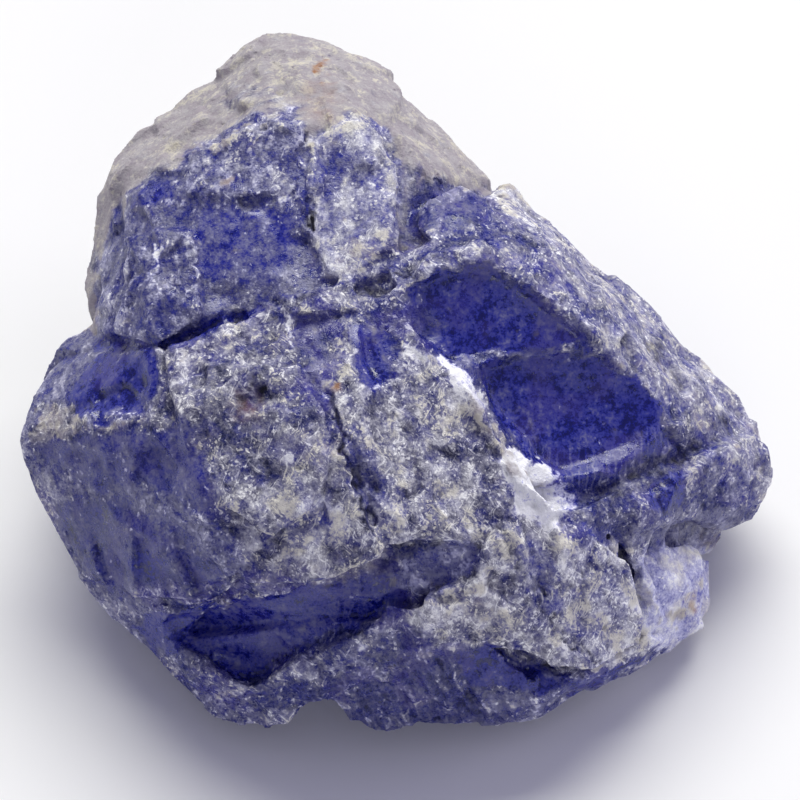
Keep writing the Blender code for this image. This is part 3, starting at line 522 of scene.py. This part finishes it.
def edge_distance(spots, outline, closed, reach):
    """Distance of each spot from the outline, negative inside it when it is closed; far ones stay far."""
    corners = np.array(outline, float)
    near = ((spots > corners.min(0) - reach) & (spots < corners.max(0) + reach)).all(1)
    distance = np.full(len(spots), FAR)
    distance[near] = near_distance(spots[near], outline, closed)
    return distance


def near_distance(spots, outline, closed):
    """The same, worked out in full for spots near the outline."""
    nearest = np.full(len(spots), np.inf)
    within = np.zeros(len(spots), bool)
    ends = outline[1:] + outline[:1] if closed else outline[1:]
    for start, end in zip(outline, ends):
        step = np.subtract(end, start)
        away = spots - start
        along = np.clip(away @ step / (step @ step), 0.0, 1.0)
        nearest = np.minimum(nearest, np.hypot(*(away - along[:, None] * step).T))
        if closed and start[1] != end[1]:
            crosses = (start[1] > spots[:, 1]) != (end[1] > spots[:, 1])
            at = start[0] + (spots[:, 1] - start[1]) * step[0] / step[1]
            within ^= crosses & (spots[:, 0] < at)
    return np.where(within, -nearest, nearest) if closed else nearest


def soft(value, low, high):
    """0 below low, 1 above high and an even slope between."""
    amount = np.clip((value - low) / (high - low), 0.0, 1.0)
    return amount * amount * (3.0 - 2.0 * amount)


def scatter_noise(place, size, seed, octaves=2):
    """A soft cloud about zero, with lumps of the size."""
    shift = Vector((seed * 7.1, seed * 3.3, seed * 5.7))
    return np.array([noise.fractal(Vector(spot) / size + shift, 0.7, 2.1, octaves) for spot in place])


def stray_of(place, size, seeds, octaves=2):
    """Soft clouds side by side, one for each seed."""
    return np.stack([scatter_noise(place, size, seed, octaves) for seed in seeds], 1)


def paint(place, normal, wander):
    """The qualities of every point of the stone's skin, and the relief of the lines on its front."""
    spots = place[:, :2] + wander
    front = soft(normal[:, 2], -0.25, 0.1)
    skin = {name: np.full(len(place), level) for name, level in PLAIN.items()}
    paint_back(skin, place, front)
    for outline, edge, changes in FACES.values():
        inside = soft(-edge_distance(spots, outline, True, edge), -edge, edge * 0.4)
        lay(skin, inside * front, changes)
    relief = np.zeros(len(place))
    for points, half_width, height, changes in LINES.values():
        away = edge_distance(spots, points, False, half_width * 2)
        weight = soft(-away, -half_width * 1.6, -half_width * 0.3) * front
        relief += weight * height
        lay(skin, weight, changes)
    for middle, radius, changes in MARKS.values():
        away = np.hypot(*(spots - middle).T)
        lay(skin, soft(-away, -radius * 1.3, -radius * 0.5) * front, changes)
    return skin, relief


def wander_of(place):
    """How far the edges of the faces stray, in millimetres across and up the drawing."""
    broad = stray_of(place, 0.9, SEEDS["broad wander"])
    narrow = stray_of(place, 0.28, SEEDS["narrow wander"], 1)
    return (broad * BROAD_WANDER + narrow * NARROW_WANDER) * (1.0, -1.0)


def lay(skin, weight, changes):
    """Brings the named qualities to their new values, by the weight."""
    for name, value in changes.items():
        skin[name] += (value - skin[name]) * weight


def paint_back(skin, place, front):
    """The hidden sides: broken faces in turn dusty, hazy and clear, paler towards the top."""
    cells = [noise.voronoi(Vector(spot) / BACK_FACE + Vector((4.0, 1.0, 7.0)))[1][0] for spot in place]
    pick = np.array([noise.cell(cell * 23.7) for cell in cells])
    tone = np.array([noise.cell(cell * 11.3 + Vector((5.0, 5.0, 5.0))) for cell in cells])
    cap_edge = place[:, 1] + scatter_noise(place, 3.0, SEEDS["cap edge"]) * 3.0
    hidden = 1.0 - front
    lay(skin, hidden, {"dust": 0.45, "haze": 0.5, "streak": 0.25})
    lay(skin, hidden * soft(pick, 0.55, 0.62), {"clear": 0.85, "haze": 0.15, "dust": 0.06, "streak": 0.1})
    lay(skin, hidden * soft(tone, 0.5, 0.6), {"dust": 0.7, "haze": 0.6})
    lay(skin, hidden * soft(cap_edge, 6.0, 10.0), {"cap": 1.0, "haze": 0.9})


def new_object(name, mesh):
    """Puts the mesh in the scene as an object."""
    made = bpy.data.objects.new(name, mesh)
    bpy.context.scene.collection.objects.link(made)
    return made


def evaluated(helper):
    """The helper's mesh with its modifiers applied; the helper is removed."""
    graph = bpy.context.evaluated_depsgraph_get()
    mesh = bpy.data.meshes.new_from_object(helper.evaluated_get(graph))
    bpy.data.objects.remove(helper)
    return mesh


def even_skin(cell):
    """A welded copy of the solid in drawing millimetres, with an even skin of small cells."""
    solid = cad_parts["tanzanite_crystal"].data
    shape = bmesh.new()
    shape.from_mesh(solid)
    bmesh.ops.remove_doubles(shape, verts=shape.verts, dist=1e-7)
    shape.transform(TO_GROUND.inverted())
    mesh = bpy.data.meshes.new("welded")
    shape.to_mesh(mesh)
    shape.free()
    helper = new_object("welded", mesh)
    skin = helper.modifiers.new("even skin", "REMESH")
    skin.mode = "VOXEL"
    skin.voxel_size = cell
    return evaluated(helper)


def points_of(mesh):
    """The places and normals of all points."""
    count = len(mesh.vertices)
    place = np.empty(count * 3, np.float32)
    normal = np.empty(count * 3, np.float32)
    mesh.vertices.foreach_get("co", place)
    mesh.vertex_normals.foreach_get("vector", normal)
    return place.reshape(-1, 3).astype(float), normal.reshape(-1, 3).astype(float)


def move_points(mesh, place):
    mesh.vertices.foreach_set("co", place.astype(np.float32).ravel())
    mesh.update()


def turned(place, lean):
    """Distances across and along lines that run up the view, leaning by the angles."""
    angle = np.radians(lean)
    across = place[:, 0] * np.cos(angle) + place[:, 1] * np.sin(angle)
    along = place[:, 1] * np.cos(angle) - place[:, 0] * np.sin(angle)
    return across, along


def streak_height(place, lean):
    """Fine parallel steps that run up the view, leaning by the angle."""
    across, along = turned(place, lean)
    long_cells = (across / STREAK_PITCH, along / (STREAK_PITCH * 9.0), place[:, 2] / (STREAK_PITCH * 4.0))
    return scatter_noise(np.stack(long_cells, 1), 1.0, SEEDS["streaks"], 3)


def flake_height(place, size):
    """Broken flakes, each in its own tilted plane."""
    heights = np.empty(len(place))
    half = Vector((0.5, 0.5, 0.5))
    for index, spot in enumerate(place):
        spot = Vector(spot) / size
        cell = noise.voronoi(spot)[1][0]
        heights[index] = (noise.cell_vector(cell * 31.7) - half).dot(spot - cell)
    return heights


def flake_stray(place):
    """Strays in three directions, so that the edges of the flakes aren't straight."""
    return stray_of(place, 0.7, SEEDS["flakes"])


def plate_tone(place):
    """One random level for each broken flake, about zero."""
    spots = (place + flake_stray(place) * FLAKE_STRAY) / FLAKE_SIZE
    return np.array([noise.cell(noise.voronoi(Vector(spot))[1][0] * 31.7) for spot in spots]) - 0.5


def lean_of(place):
    """How far the fine lines of growth lean from upright, in degrees."""
    lean = np.where(place[:, 1] > BLOCK_FOOT, *GRAIN_LEANS)
    for outline, degrees in LEANS.values():
        lean[edge_distance(place[:, :2], outline, True, 0.0) < 0.0] = degrees
    return lean


def relief_of(place, skin, lines):
    """How far each point stands out, from the faces' own roughness."""
    broken = 1.0 - soft(skin["clear"], 0.3, 0.85)
    stray = flake_stray(place)
    flakes = flake_height(place + stray * FLAKE_STRAY, FLAKE_SIZE)
    chips = flake_height(place + stray * CHIP_STRAY, CHIP_SIZE)
    upright, leaning = (streak_height(place, lean) for lean in STREAK_LEANS)
    height = ROUGH_DEPTH * broken * scatter_noise(place, ROUGH_SIZE, SEEDS["roughness"], 3)
    height += FLAKE_DEPTH * (0.1 + 0.9 * broken) * flakes
    height += CHIP_DEPTH * broken * chips
    height += RIPPLE_DEPTH * (1.0 - broken) * scatter_noise(place, RIPPLE_SIZE, SEEDS["ripples"], 2)
    height += STREAK_DEPTH * skin["streak"] * np.where(place[:, 1] > BLOCK_FOOT, upright, leaning)
    return height + lines


def fewer_triangles(mesh, normal):
    """Thins the hidden sides first and then the whole skin."""
    helper = new_object("stone skin", mesh)
    hidden = helper.vertex_groups.new(name="hidden sides")
    for index in np.nonzero(normal[:, 2] < HIDDEN_NORMAL)[0]:
        hidden.add([int(index)], 1.0, "REPLACE")
    triangles = sum(len(face.vertices) - 2 for face in mesh.polygons)
    share = float((normal[:, 2] < HIDDEN_NORMAL).mean())
    thin = helper.modifiers.new("thin the hidden sides", "DECIMATE")
    thin.vertex_group = "hidden sides"
    thin.ratio = 1.0 - share * HIDDEN_THINNING
    fewer = helper.modifiers.new("thin the whole", "DECIMATE")
    fewer.ratio = min(1.0, STONE_TRIANGLES / (triangles * thin.ratio))
    return evaluated(helper)


def surface_fields(mesh, place, normal, skin):
    """Turns the painted qualities into what the material reads at every point."""
    broad = scatter_noise(place, 1.8, SEEDS["broad cloud"], 3)
    medium = scatter_noise(place, 0.5, SEEDS["medium cloud"], 3)
    bare = soft(scatter_noise(place, 1.0, SEEDS["bare"], 3), 0.1, 0.3)
    crust = soft(scatter_noise(place, 0.7, SEEDS["crust"], 3), 0.12, 0.35)
    # Ridges get paler dust; creases are darkened as painted shade, through the haze, the dust and the dirt
    # below
    ridge = ridge_wear_and_crease_shade(mesh, place, normal) - 0.5
    rough = 1.0 - soft(skin["clear"], 0.5, 1.0) * 0.6
    dusty = soft(skin["dust"], 0.0, 0.3)
    more_haze = rough * (0.05 * medium + 0.14 * broad - 0.12 * bare) + 0.25 * ridge
    more_dust = dusty * (0.05 * medium + 0.15 * broad + 0.35 * ridge + 0.12 * crust - 0.2 * bare)
    fields = dict(skin)
    fields["haze"] = skin["haze"] + more_haze
    fields["dust"] = skin["dust"] + more_dust
    fields["clear"] = skin["clear"] + 0.3 * medium * rough
    fields["cap"] = skin["cap"] + 0.35 * medium + 0.2 * broad
    # Painted shade: darker in the creases, except on the cap
    fields["dirt"] = skin["dirt"] + 0.45 * soft(-ridge, 0.1, 0.5) * (1.0 - skin["cap"])
    fields["patches"] = 0.5 * scatter_noise(place, 0.4, SEEDS["patches"], 3)
    fields["cream"] = soft(scatter_noise(place, 1.0, SEEDS["cream"], 2), 0.0, 0.3)
    fields["plates"] = plate_tone(place)
    fields["violet"] = soft(broad, 0.05, 0.3) * soft(skin["haze"], 0.6, 0.2)
    for name, values in fields.items():
        layer = mesh.attributes.new(name, "FLOAT", "POINT")
        layer.data.foreach_set("value", values.astype(np.float32))
    stray = stray_of(place, 0.6, SEEDS["needles"])
    vectors = {"bent": place + stray * 0.18, "grain": grain_place(place + stray * 0.15)}
    for name, values in vectors.items():
        layer = mesh.attributes.new(name, "FLOAT_VECTOR", "POINT")
        layer.data.foreach_set("vector", values.astype(np.float32).ravel())


def grain_place(place):
    """Places squeezed so that a noise on them runs in fine lines along the growth of the crystal."""
    across, along = turned(place, lean_of(place))
    return np.stack((across * 5.0, along * 0.5, place[:, 2] * 1.4), 1)


def stone():
    """The whole stone as one skin with its relief and the qualities of its faces."""
    cell = SKIN_CELL * 1.0
    mesh = even_skin(cell)
    place, normal = points_of(mesh)
    skin, lines = paint(place, normal, wander_of(place))
    height = relief_of(place, skin, lines)
    ground = np.array(TO_GROUND)
    above = (place @ ground[2, :3] + ground[2, 3]) / MM
    height *= soft(above, 0.1, 0.8)
    move_points(mesh, place + normal * height[:, None])
    mesh = fewer_triangles(mesh, normal)
    place, normal = points_of(mesh)
    skin = paint(place, normal, wander_of(place))[0]
    surface_fields(mesh, place, normal, skin)
    mesh.transform(TO_GROUND)
    for vertex in mesh.vertices:
        vertex.co.z = max(vertex.co.z, 0.0)
    mesh.shade_smooth()
    mesh.set_sharp_from_angle(angle=SHARP_ANGLE)
    return new_object("crystal", mesh)


def ridge_wear_and_crease_shade(mesh, place, normal):
    """Above a half on ridges and below it in creases."""
    ends = np.empty(len(mesh.edges) * 2, np.int32)
    mesh.edges.foreach_get("vertices", ends)
    ends = ends.reshape(-1, 2)
    links = np.bincount(ends.ravel(), minlength=len(place))
    smooth = place.copy()
    for _ in range(6):
        total = np.zeros_like(smooth)
        for axis in range(3):
            total[:, axis] = np.bincount(ends[:, 0], smooth[ends[:, 1], axis], len(place))
            total[:, axis] += np.bincount(ends[:, 1], smooth[ends[:, 0], axis], len(place))
        smooth = total / np.maximum(links, 1)[:, None]
    standing = ((place - smooth) * normal).sum(1)
    return np.clip(0.5 + standing / RIDGE_HEIGHT, 0.0, 1.0)


class Wire:
    """A number in a material; the signs between wires and numbers become maths nodes."""

    def __init__(self, net, socket):
        self.net = net
        self.socket = socket

    def maths(self, operation, *values):
        node = self.net.add("ShaderNodeMath", {"operation": operation}, dict(enumerate(values or (self,))))
        return Wire(self.net, node.outputs[0])

    def __add__(self, other):
        return self.maths("ADD", self, other)

    def __sub__(self, other):
        return self.maths("SUBTRACT", self, other)

    def __rsub__(self, other):
        return self.maths("SUBTRACT", other, self)

    def __mul__(self, other):
        return self.maths("MULTIPLY", self, other)

    __radd__ = __add__
    __rmul__ = __mul__

    def soft(self, low, high):
        """0 below low and 1 above high."""
        settings = {"interpolation_type": "SMOOTHSTEP"}
        inputs = {"Value": self, "From Min": low, "From Max": high}
        return Wire(self.net, self.net.add("ShaderNodeMapRange", settings, inputs).outputs[0])

    def larger(self, other):
        return self.maths("MAXIMUM", self, other)

    def clamp(self):
        return Wire(self.net, self.net.add("ShaderNodeClamp", {}, {"Value": self}).outputs[0])


class Network:
    """The nodes of one material."""

    def __init__(self, name):
        self.material = bpy.data.materials.new(name)
        self.material.use_nodes = True
        self.tree = self.material.node_tree
        self.tree.nodes.clear()

    def add(self, kind, settings, inputs):
        node = self.tree.nodes.new(kind)
        for key, value in settings.items():
            setattr(node, key, value)
        for key, value in inputs.items():
            socket = node.inputs[key]
            if isinstance(value, Wire):
                self.tree.links.new(value.socket, socket)
            else:
                socket.default_value = value
        return node

    def wire(self, kind, settings, inputs, output=0):
        return Wire(self, self.add(kind, settings, inputs).outputs[output])

    def quality(self, name):
        return self.wire("ShaderNodeAttribute", {"attribute_name": name}, {}, "Fac")

    def vector(self, name):
        return self.wire("ShaderNodeAttribute", {"attribute_name": name}, {}, "Vector")

    def noise(self, vector, scale, detail, roughness):
        inputs = {"Vector": vector, "Scale": scale, "Detail": detail, "Roughness": roughness}
        return self.wire("ShaderNodeTexNoise", {}, inputs, "Fac")

    def flecks(self, vector, scale, size, share):
        """Flecks of differing size, one in each of a share of the cells."""
        cell = self.add("ShaderNodeTexVoronoi", {}, {"Vector": vector, "Scale": scale})
        pick = self.add("ShaderNodeSeparateColor", {}, {0: Wire(self, cell.outputs["Color"])})
        held = (Wire(self, pick.outputs[0]) + share).soft(1.0, 1.03)
        reach = Wire(self, pick.outputs[1]) * (size * 0.7) + size * 0.3
        return (reach - Wire(self, cell.outputs["Distance"])).soft(0.0, size * 0.22) * held

    def stretch(self, vector, scale, turn):
        """A pattern's cells drawn out to the scale along each axis and turned by the angle."""
        inputs = {"Vector": vector, "Scale": scale, "Rotation": (0.0, 0.0, math.radians(turn))}
        return self.wire("ShaderNodeMapping", {"vector_type": "TEXTURE"}, inputs)

    def ramp(self, amount, stops):
        node = self.add("ShaderNodeValToRGB", {}, {0: amount})
        marks = node.color_ramp.elements
        for index, (position, colour) in enumerate(stops):
            mark = marks[index] if index < 2 else marks.new(position)
            mark.position = position
            mark.color = colour
        return Wire(self, node.outputs[0])

    def blend(self, amount, low, high):
        inputs = {0: amount, 6: low, 7: high}
        return self.wire("ShaderNodeMix", {"data_type": "RGBA"}, inputs, 2)

    def drawing_place(self):
        """Where a point of the stone lies on the drawing, in millimetres."""
        place = self.wire("ShaderNodeTexCoord", {}, {}, "Object")
        large = self.wire("ShaderNodeVectorMath", {"operation": "SCALE"}, {0: place, "Scale": 1.0 / MM})
        shift = (DRAWING_CENTRE[0], DRAWING_CENTRE[1], -REST_HEIGHT)
        moved = self.wire("ShaderNodeVectorMath", {"operation": "ADD"}, {0: large, 1: shift})
        settings = {"rotation_type": "X_AXIS"}
        return self.wire("ShaderNodeVectorRotate", settings, {"Vector": moved, "Angle": TILT - math.pi / 2})


# Colours by how pale a spot is: clear crystal, and crystal under dust
CLEAR_CRYSTAL = (
    (0.0, (0.002, 0.005, 0.17, 1.0)),
    (0.1, (0.006, 0.013, 0.33, 1.0)),
    (0.2, (0.032, 0.043, 0.49, 1.0)),
    (0.3, (0.085, 0.088, 0.46, 1.0)),
    (0.5, (0.26, 0.262, 0.56, 1.0)),
    (0.75, (0.62, 0.62, 0.85, 1.0)),
    (1.0, (0.97, 0.97, 1.0, 1.0)),
)
DUSTY_CRYSTAL = (
    (0.0, (0.004, 0.006, 0.03, 1.0)),
    (0.15, (0.022, 0.026, 0.07, 1.0)),
    (0.3, (0.093, 0.093, 0.163, 1.0)),
    (0.48, (0.254, 0.250, 0.325, 1.0)),
    (0.7, (0.585, 0.578, 0.63, 1.0)),
    (0.9, (0.95, 0.945, 0.95, 1.0)),
)
VIOLET = (0.085, 0.06, 0.40, 1.0)
CAP_GREY = (0.43, 0.405, 0.42, 1.0)
CAP_PINK = (0.36, 0.32, 0.35, 1.0)
CAP_CREAM = (0.56, 0.52, 0.46, 1.0)
CREAM_DUST = (0.68, 0.63, 0.48, 1.0)
RUST = (0.36, 0.19, 0.11, 1.0)
# Near black: dirt, together with painted shade in creases, pits and grooves
DIRT_AND_SHADE = (0.01, 0.01, 0.02, 1.0)
INNER_BLUE = (0.25, 0.25, 0.85, 1.0)
INNER_DENSITY = 200.0
SHEET_WHITE = (0.93, 0.93, 0.925, 1.0)
TANZANITE_IOR = 1.69
DUST_IOR = 1.5
SHINE = 0.3
SEE_THROUGH = 0.4

# What makes a spot paler, and by how much
PALER = {
    "bare crystal": 0.1,
    "haze": 0.38,
    "dust": 0.26,
    "plates": 0.12,
    "chips": 0.09,
    "crumbs": 0.19,
    "grains": 0.35,
    "needles": 0.23,
    "comb": 0.19,
    # White chalk and painted glints make a spot near white
    "chalk": 0.42,
}

# Flecks of dust: cells to the millimetre, and in which share of the cells they lie
FLECKS = {
    "chips": {"cells": 1.7, "share": 0.5, "always": 0.0},
    "crumbs": {"cells": 3.6, "share": 0.6, "always": 0.02},
    "grains": {"cells": 6.5, "share": 0.5, "always": 0.03},
}
FLECK_REACH = 0.62
NEEDLES = (
    {"size": (0.085, 1.1, 0.5), "turn": -24.0, "share": 0.6},
    {"size": (0.085, 0.9, 0.5), "turn": 50.0, "share": 0.5},
)
NEEDLE_REACH = 0.5
COMB_WAVE = 4.5

# The sheet, the camera and the room. The sensor is in millimetres and the rest in metres.
SHEET_SIZE = 3.0
CAMERA_DISTANCE = 0.6
SENSOR_WIDTH = 36.0
ROOM_COLOUR = (0.71, 0.70, 1.0, 1.0)
ROOM_STRENGTH = 0.3


def crystal_material():
    """Violet-blue crystal, glassy where it broke clean and dusty elsewhere, with a pale weathered cap."""
    net = Network("tanzanite")
    place = net.drawing_place()
    skin = {name: net.quality(name) for name in (*PLAIN, "patches", "cream", "plates", "violet")}
    clear = skin["clear"]
    dusty = (skin["dust"] * 1.4).clamp()
    speckle = net.noise(place, 1.6, 3.0, 0.9) - 0.5
    grit = net.noise(place, 7.0, 2.0, 0.9) - 0.5
    tone = paleness(net, place, skin, dusty, speckle, grit)
    weathered = (skin["cap"] + skin["patches"] * 0.7).soft(0.15, 0.85)
    body = crystal_colour(net, skin, tone, speckle)
    body = net.blend(weathered * 0.92, body, crust_colour(net, skin, speckle))

    height = net.noise(place, 8.0, 2.0, 0.8) * (1.25 - clear)
    bump = {"Strength": 0.6, "Distance": BUMP_HEIGHT * MM, "Height": height}
    uneven = net.wire("ShaderNodeBump", {}, bump)
    rough = net.wire("ShaderNodeBsdfPrincipled", {}, {
        "Base Color": stained_colour(net, skin, tone, dusty, body),
        "Roughness": (0.62 - grit * 1.5 + dusty * 0.2).clamp(),
        "IOR": DUST_IOR,
        "Specular IOR Level": SHINE,
        "Normal": uneven,
    })
    glassy = net.wire("ShaderNodeBsdfPrincipled", {}, {
        "Base Color": body,
        "Roughness": (0.34 + speckle * 1.5).clamp(),
        "IOR": TANZANITE_IOR,
        "Specular IOR Level": SHINE,
        "Transmission Weight": SEE_THROUGH,
        "Normal": uneven,
    })
    shown = (clear * 1.2 - tone.soft(0.4, 0.7) - weathered * 0.6 + speckle).soft(0.1, 0.6)
    surface = net.wire("ShaderNodeMixShader", {}, {0: shown, 1: rough, 2: glassy})
    inside = net.wire("ShaderNodeVolumeAbsorption", {}, {"Color": INNER_BLUE, "Density": INNER_DENSITY})
    net.add("ShaderNodeOutputMaterial", {}, {"Surface": surface, "Volume": inside})
    return net.material


def paleness(net, place, skin, dusty, speckle, grit):
    """How pale each spot is, from the haze, dust, flakes and fine lines there."""
    clear, chalk = skin["clear"], skin["chalk"]
    grain = net.vector("grain")
    lines = net.noise(grain, 1.0, 3.0, 0.7) - 0.5
    tone = skin["haze"] * PALER["haze"] + skin["dust"] * PALER["dust"] + PALER["bare crystal"]
    tone = tone + speckle * (clear * 0.6 + 0.9) + grit * (0.6 - clear * 0.2)
    tone = tone + lines * (skin["streak"] * 0.7 + 0.12) + skin["plates"] * dusty * PALER["plates"]
    tone = tone + settled_dust(net, place, skin)
    tone = tone + comb_lines(net, grain, lines) * skin["comb"] * PALER["comb"]
    # Chalk and painted glints, near white
    return tone + (chalk + speckle * 3.0) * chalk * PALER["chalk"]


def settled_dust(net, place, skin):
    """Chips, crumbs and grains of dust, ragged at their edges, and needles that lie across each other."""
    bent = net.vector("bent")
    shake = net.wire("ShaderNodeTexNoise", {}, {"Vector": place, "Scale": 6.0, "Detail": 1.0}, "Color")
    shaken = net.wire("ShaderNodeVectorMath", {"operation": "SCALE"}, {0: shake, "Scale": 0.22})
    ragged = net.wire("ShaderNodeVectorMath", {"operation": "ADD"}, {0: bent, 1: shaken})
    share = (skin["dust"] + skin["patches"] * 0.8 - 0.12).clamp()
    needles = []
    for needle in NEEDLES:
        drawn_out = net.stretch(bent, needle["size"], needle["turn"])
        needles.append(net.flecks(drawn_out, 1.0, NEEDLE_REACH, share * needle["share"]))
    total = needles[0].larger(needles[1]) * PALER["needles"]
    for name, fleck in FLECKS.items():
        amount = share * fleck["share"] + fleck["always"]
        total = total + net.flecks(ragged, fleck["cells"], FLECK_REACH, amount) * PALER[name]
    return total


def comb_lines(net, grain, lines):
    """Fine steps that stand in rows like a comb."""
    sideways = net.wire("ShaderNodeSeparateXYZ", {}, {0: grain})
    return (sideways * COMB_WAVE + lines * 3.0).maths("SINE").soft(0.4, 1.0)


def crystal_colour(net, skin, tone, speckle):
    """Blue where the crystal is clear and slate grey under dust, with violet clouds."""
    clear = skin["clear"]
    greyness = 1.0 - clear * 1.15 - skin["milk"] - skin["chalk"] * 0.4 + speckle * (1.0 - clear)
    body = net.blend(greyness.clamp(), net.ramp(tone, CLEAR_CRYSTAL), net.ramp(tone, DUSTY_CRYSTAL))
    return net.blend(skin["violet"] * 0.35, body, VIOLET)


def crust_colour(net, skin, speckle):
    """The weathered cap: pink and grey with cream patches."""
    crust = net.blend((speckle * 4.0 + 0.5).clamp(), CAP_PINK, CAP_GREY)
    return net.blend((speckle + skin["patches"] * 0.4).soft(0.06, 0.16) * 0.8, crust, CAP_CREAM)


def stained_colour(net, skin, tone, dusty, body):
    """The colour under dust, with cream patches, rust, and dirt together with painted shade."""
    creamy = skin["cream"] * tone.soft(0.5, 0.7) * dusty * 0.55
    spread = skin["patches"] * 2.0 + 0.8
    colour = net.blend((creamy - skin["chalk"]).clamp(), body, CREAM_DUST)
    colour = net.blend((skin["rust"] * spread).clamp(), colour, RUST)
    # Dirt and painted shade
    return net.blend((skin["dirt"] * spread).clamp(), colour, DIRT_AND_SHADE)


def plain_material(name, colour, roughness):
    """One even colour."""
    net = Network(name)
    surface = net.wire("ShaderNodeBsdfPrincipled", {}, {"Base Color": colour, "Roughness": roughness})
    net.add("ShaderNodeOutputMaterial", {}, {"Surface": surface})
    return net.material


def pale_floor():
    """The pale sheet that the stone lies on."""
    shape = bmesh.new()
    bmesh.ops.create_grid(shape, x_segments=1, y_segments=1, size=SHEET_SIZE)
    mesh = bpy.data.meshes.new("pale sheet")
    shape.to_mesh(mesh)
    shape.free()
    mesh.materials.append(plain_material("pale sheet", SHEET_WHITE, 0.9))
    return new_object("pale_sheet", mesh)


def soft_light(name, place, width, depth, power, colour=(1.0, 1.0, 1.0)):
    """A large soft panel that faces the stone; place and sizes in metres."""
    data = bpy.data.lights.new(name, "AREA")
    data.shape = "ELLIPSE"
    data.size = width
    data.size_y = depth
    data.energy = power
    data.color = colour
    light = bpy.data.objects.new(name, data)
    light.location = place
    light.rotation_euler = (-Vector(place)).to_track_quat("-Z", "Y").to_euler()
    light.visible_camera = False
    bpy.context.scene.collection.objects.link(light)


def camera():
    """Looks at the middle of the drawing from VIEW_ELEVATION, through a long close-up lens."""
    data = bpy.data.cameras.new("camera")
    data.type = "PERSP"
    data.sensor_width = SENSOR_WIDTH
    data.lens = SENSOR_WIDTH * CAMERA_DISTANCE / (PICTURE_WIDTH * MM)
    data.clip_start = 0.01
    data.clip_end = 20.0
    made = bpy.data.objects.new("camera", data)
    made.matrix_world = TO_GROUND.normalized() @ Matrix.Translation((0.0, 0.0, CAMERA_DISTANCE))
    bpy.context.scene.collection.objects.link(made)
    bpy.context.scene.camera = made


def daylight():
    """A bluish room, a large soft light above and behind, and two weak ones at the front and the right."""
    world = bpy.data.worlds.new("soft room")
    bpy.context.scene.world = world
    world.use_nodes = True
    room = world.node_tree.nodes["Background"]
    room.inputs["Color"].default_value = ROOM_COLOUR
    room.inputs["Strength"].default_value = ROOM_STRENGTH
    soft_light("overhead", (0.04, 0.97, 1.2), 1.7, 0.75, power=26.8, colour=(1.0, 1.0, 0.91))
    soft_light("front fill", (0.2, -1.3, 0.8), 0.8, 0.6, power=2.1)
    soft_light("right fill", (1.25, 0.3, 0.6), 0.8, 0.6, power=2.8, colour=(0.8, 0.76, 1.0))


def main():
    """The dressed stone, what it lies on, the light and the camera."""
    scene = bpy.context.scene
    scene.view_settings.view_transform = "Standard"
    scene.view_settings.look = "None"
    crystal = stone()
    crystal.data.materials.clear()
    crystal.data.materials.append(crystal_material())
    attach(crystal, "root")
    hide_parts("tanzanite_crystal")
    pale_floor()
    daylight()
    camera()


main()
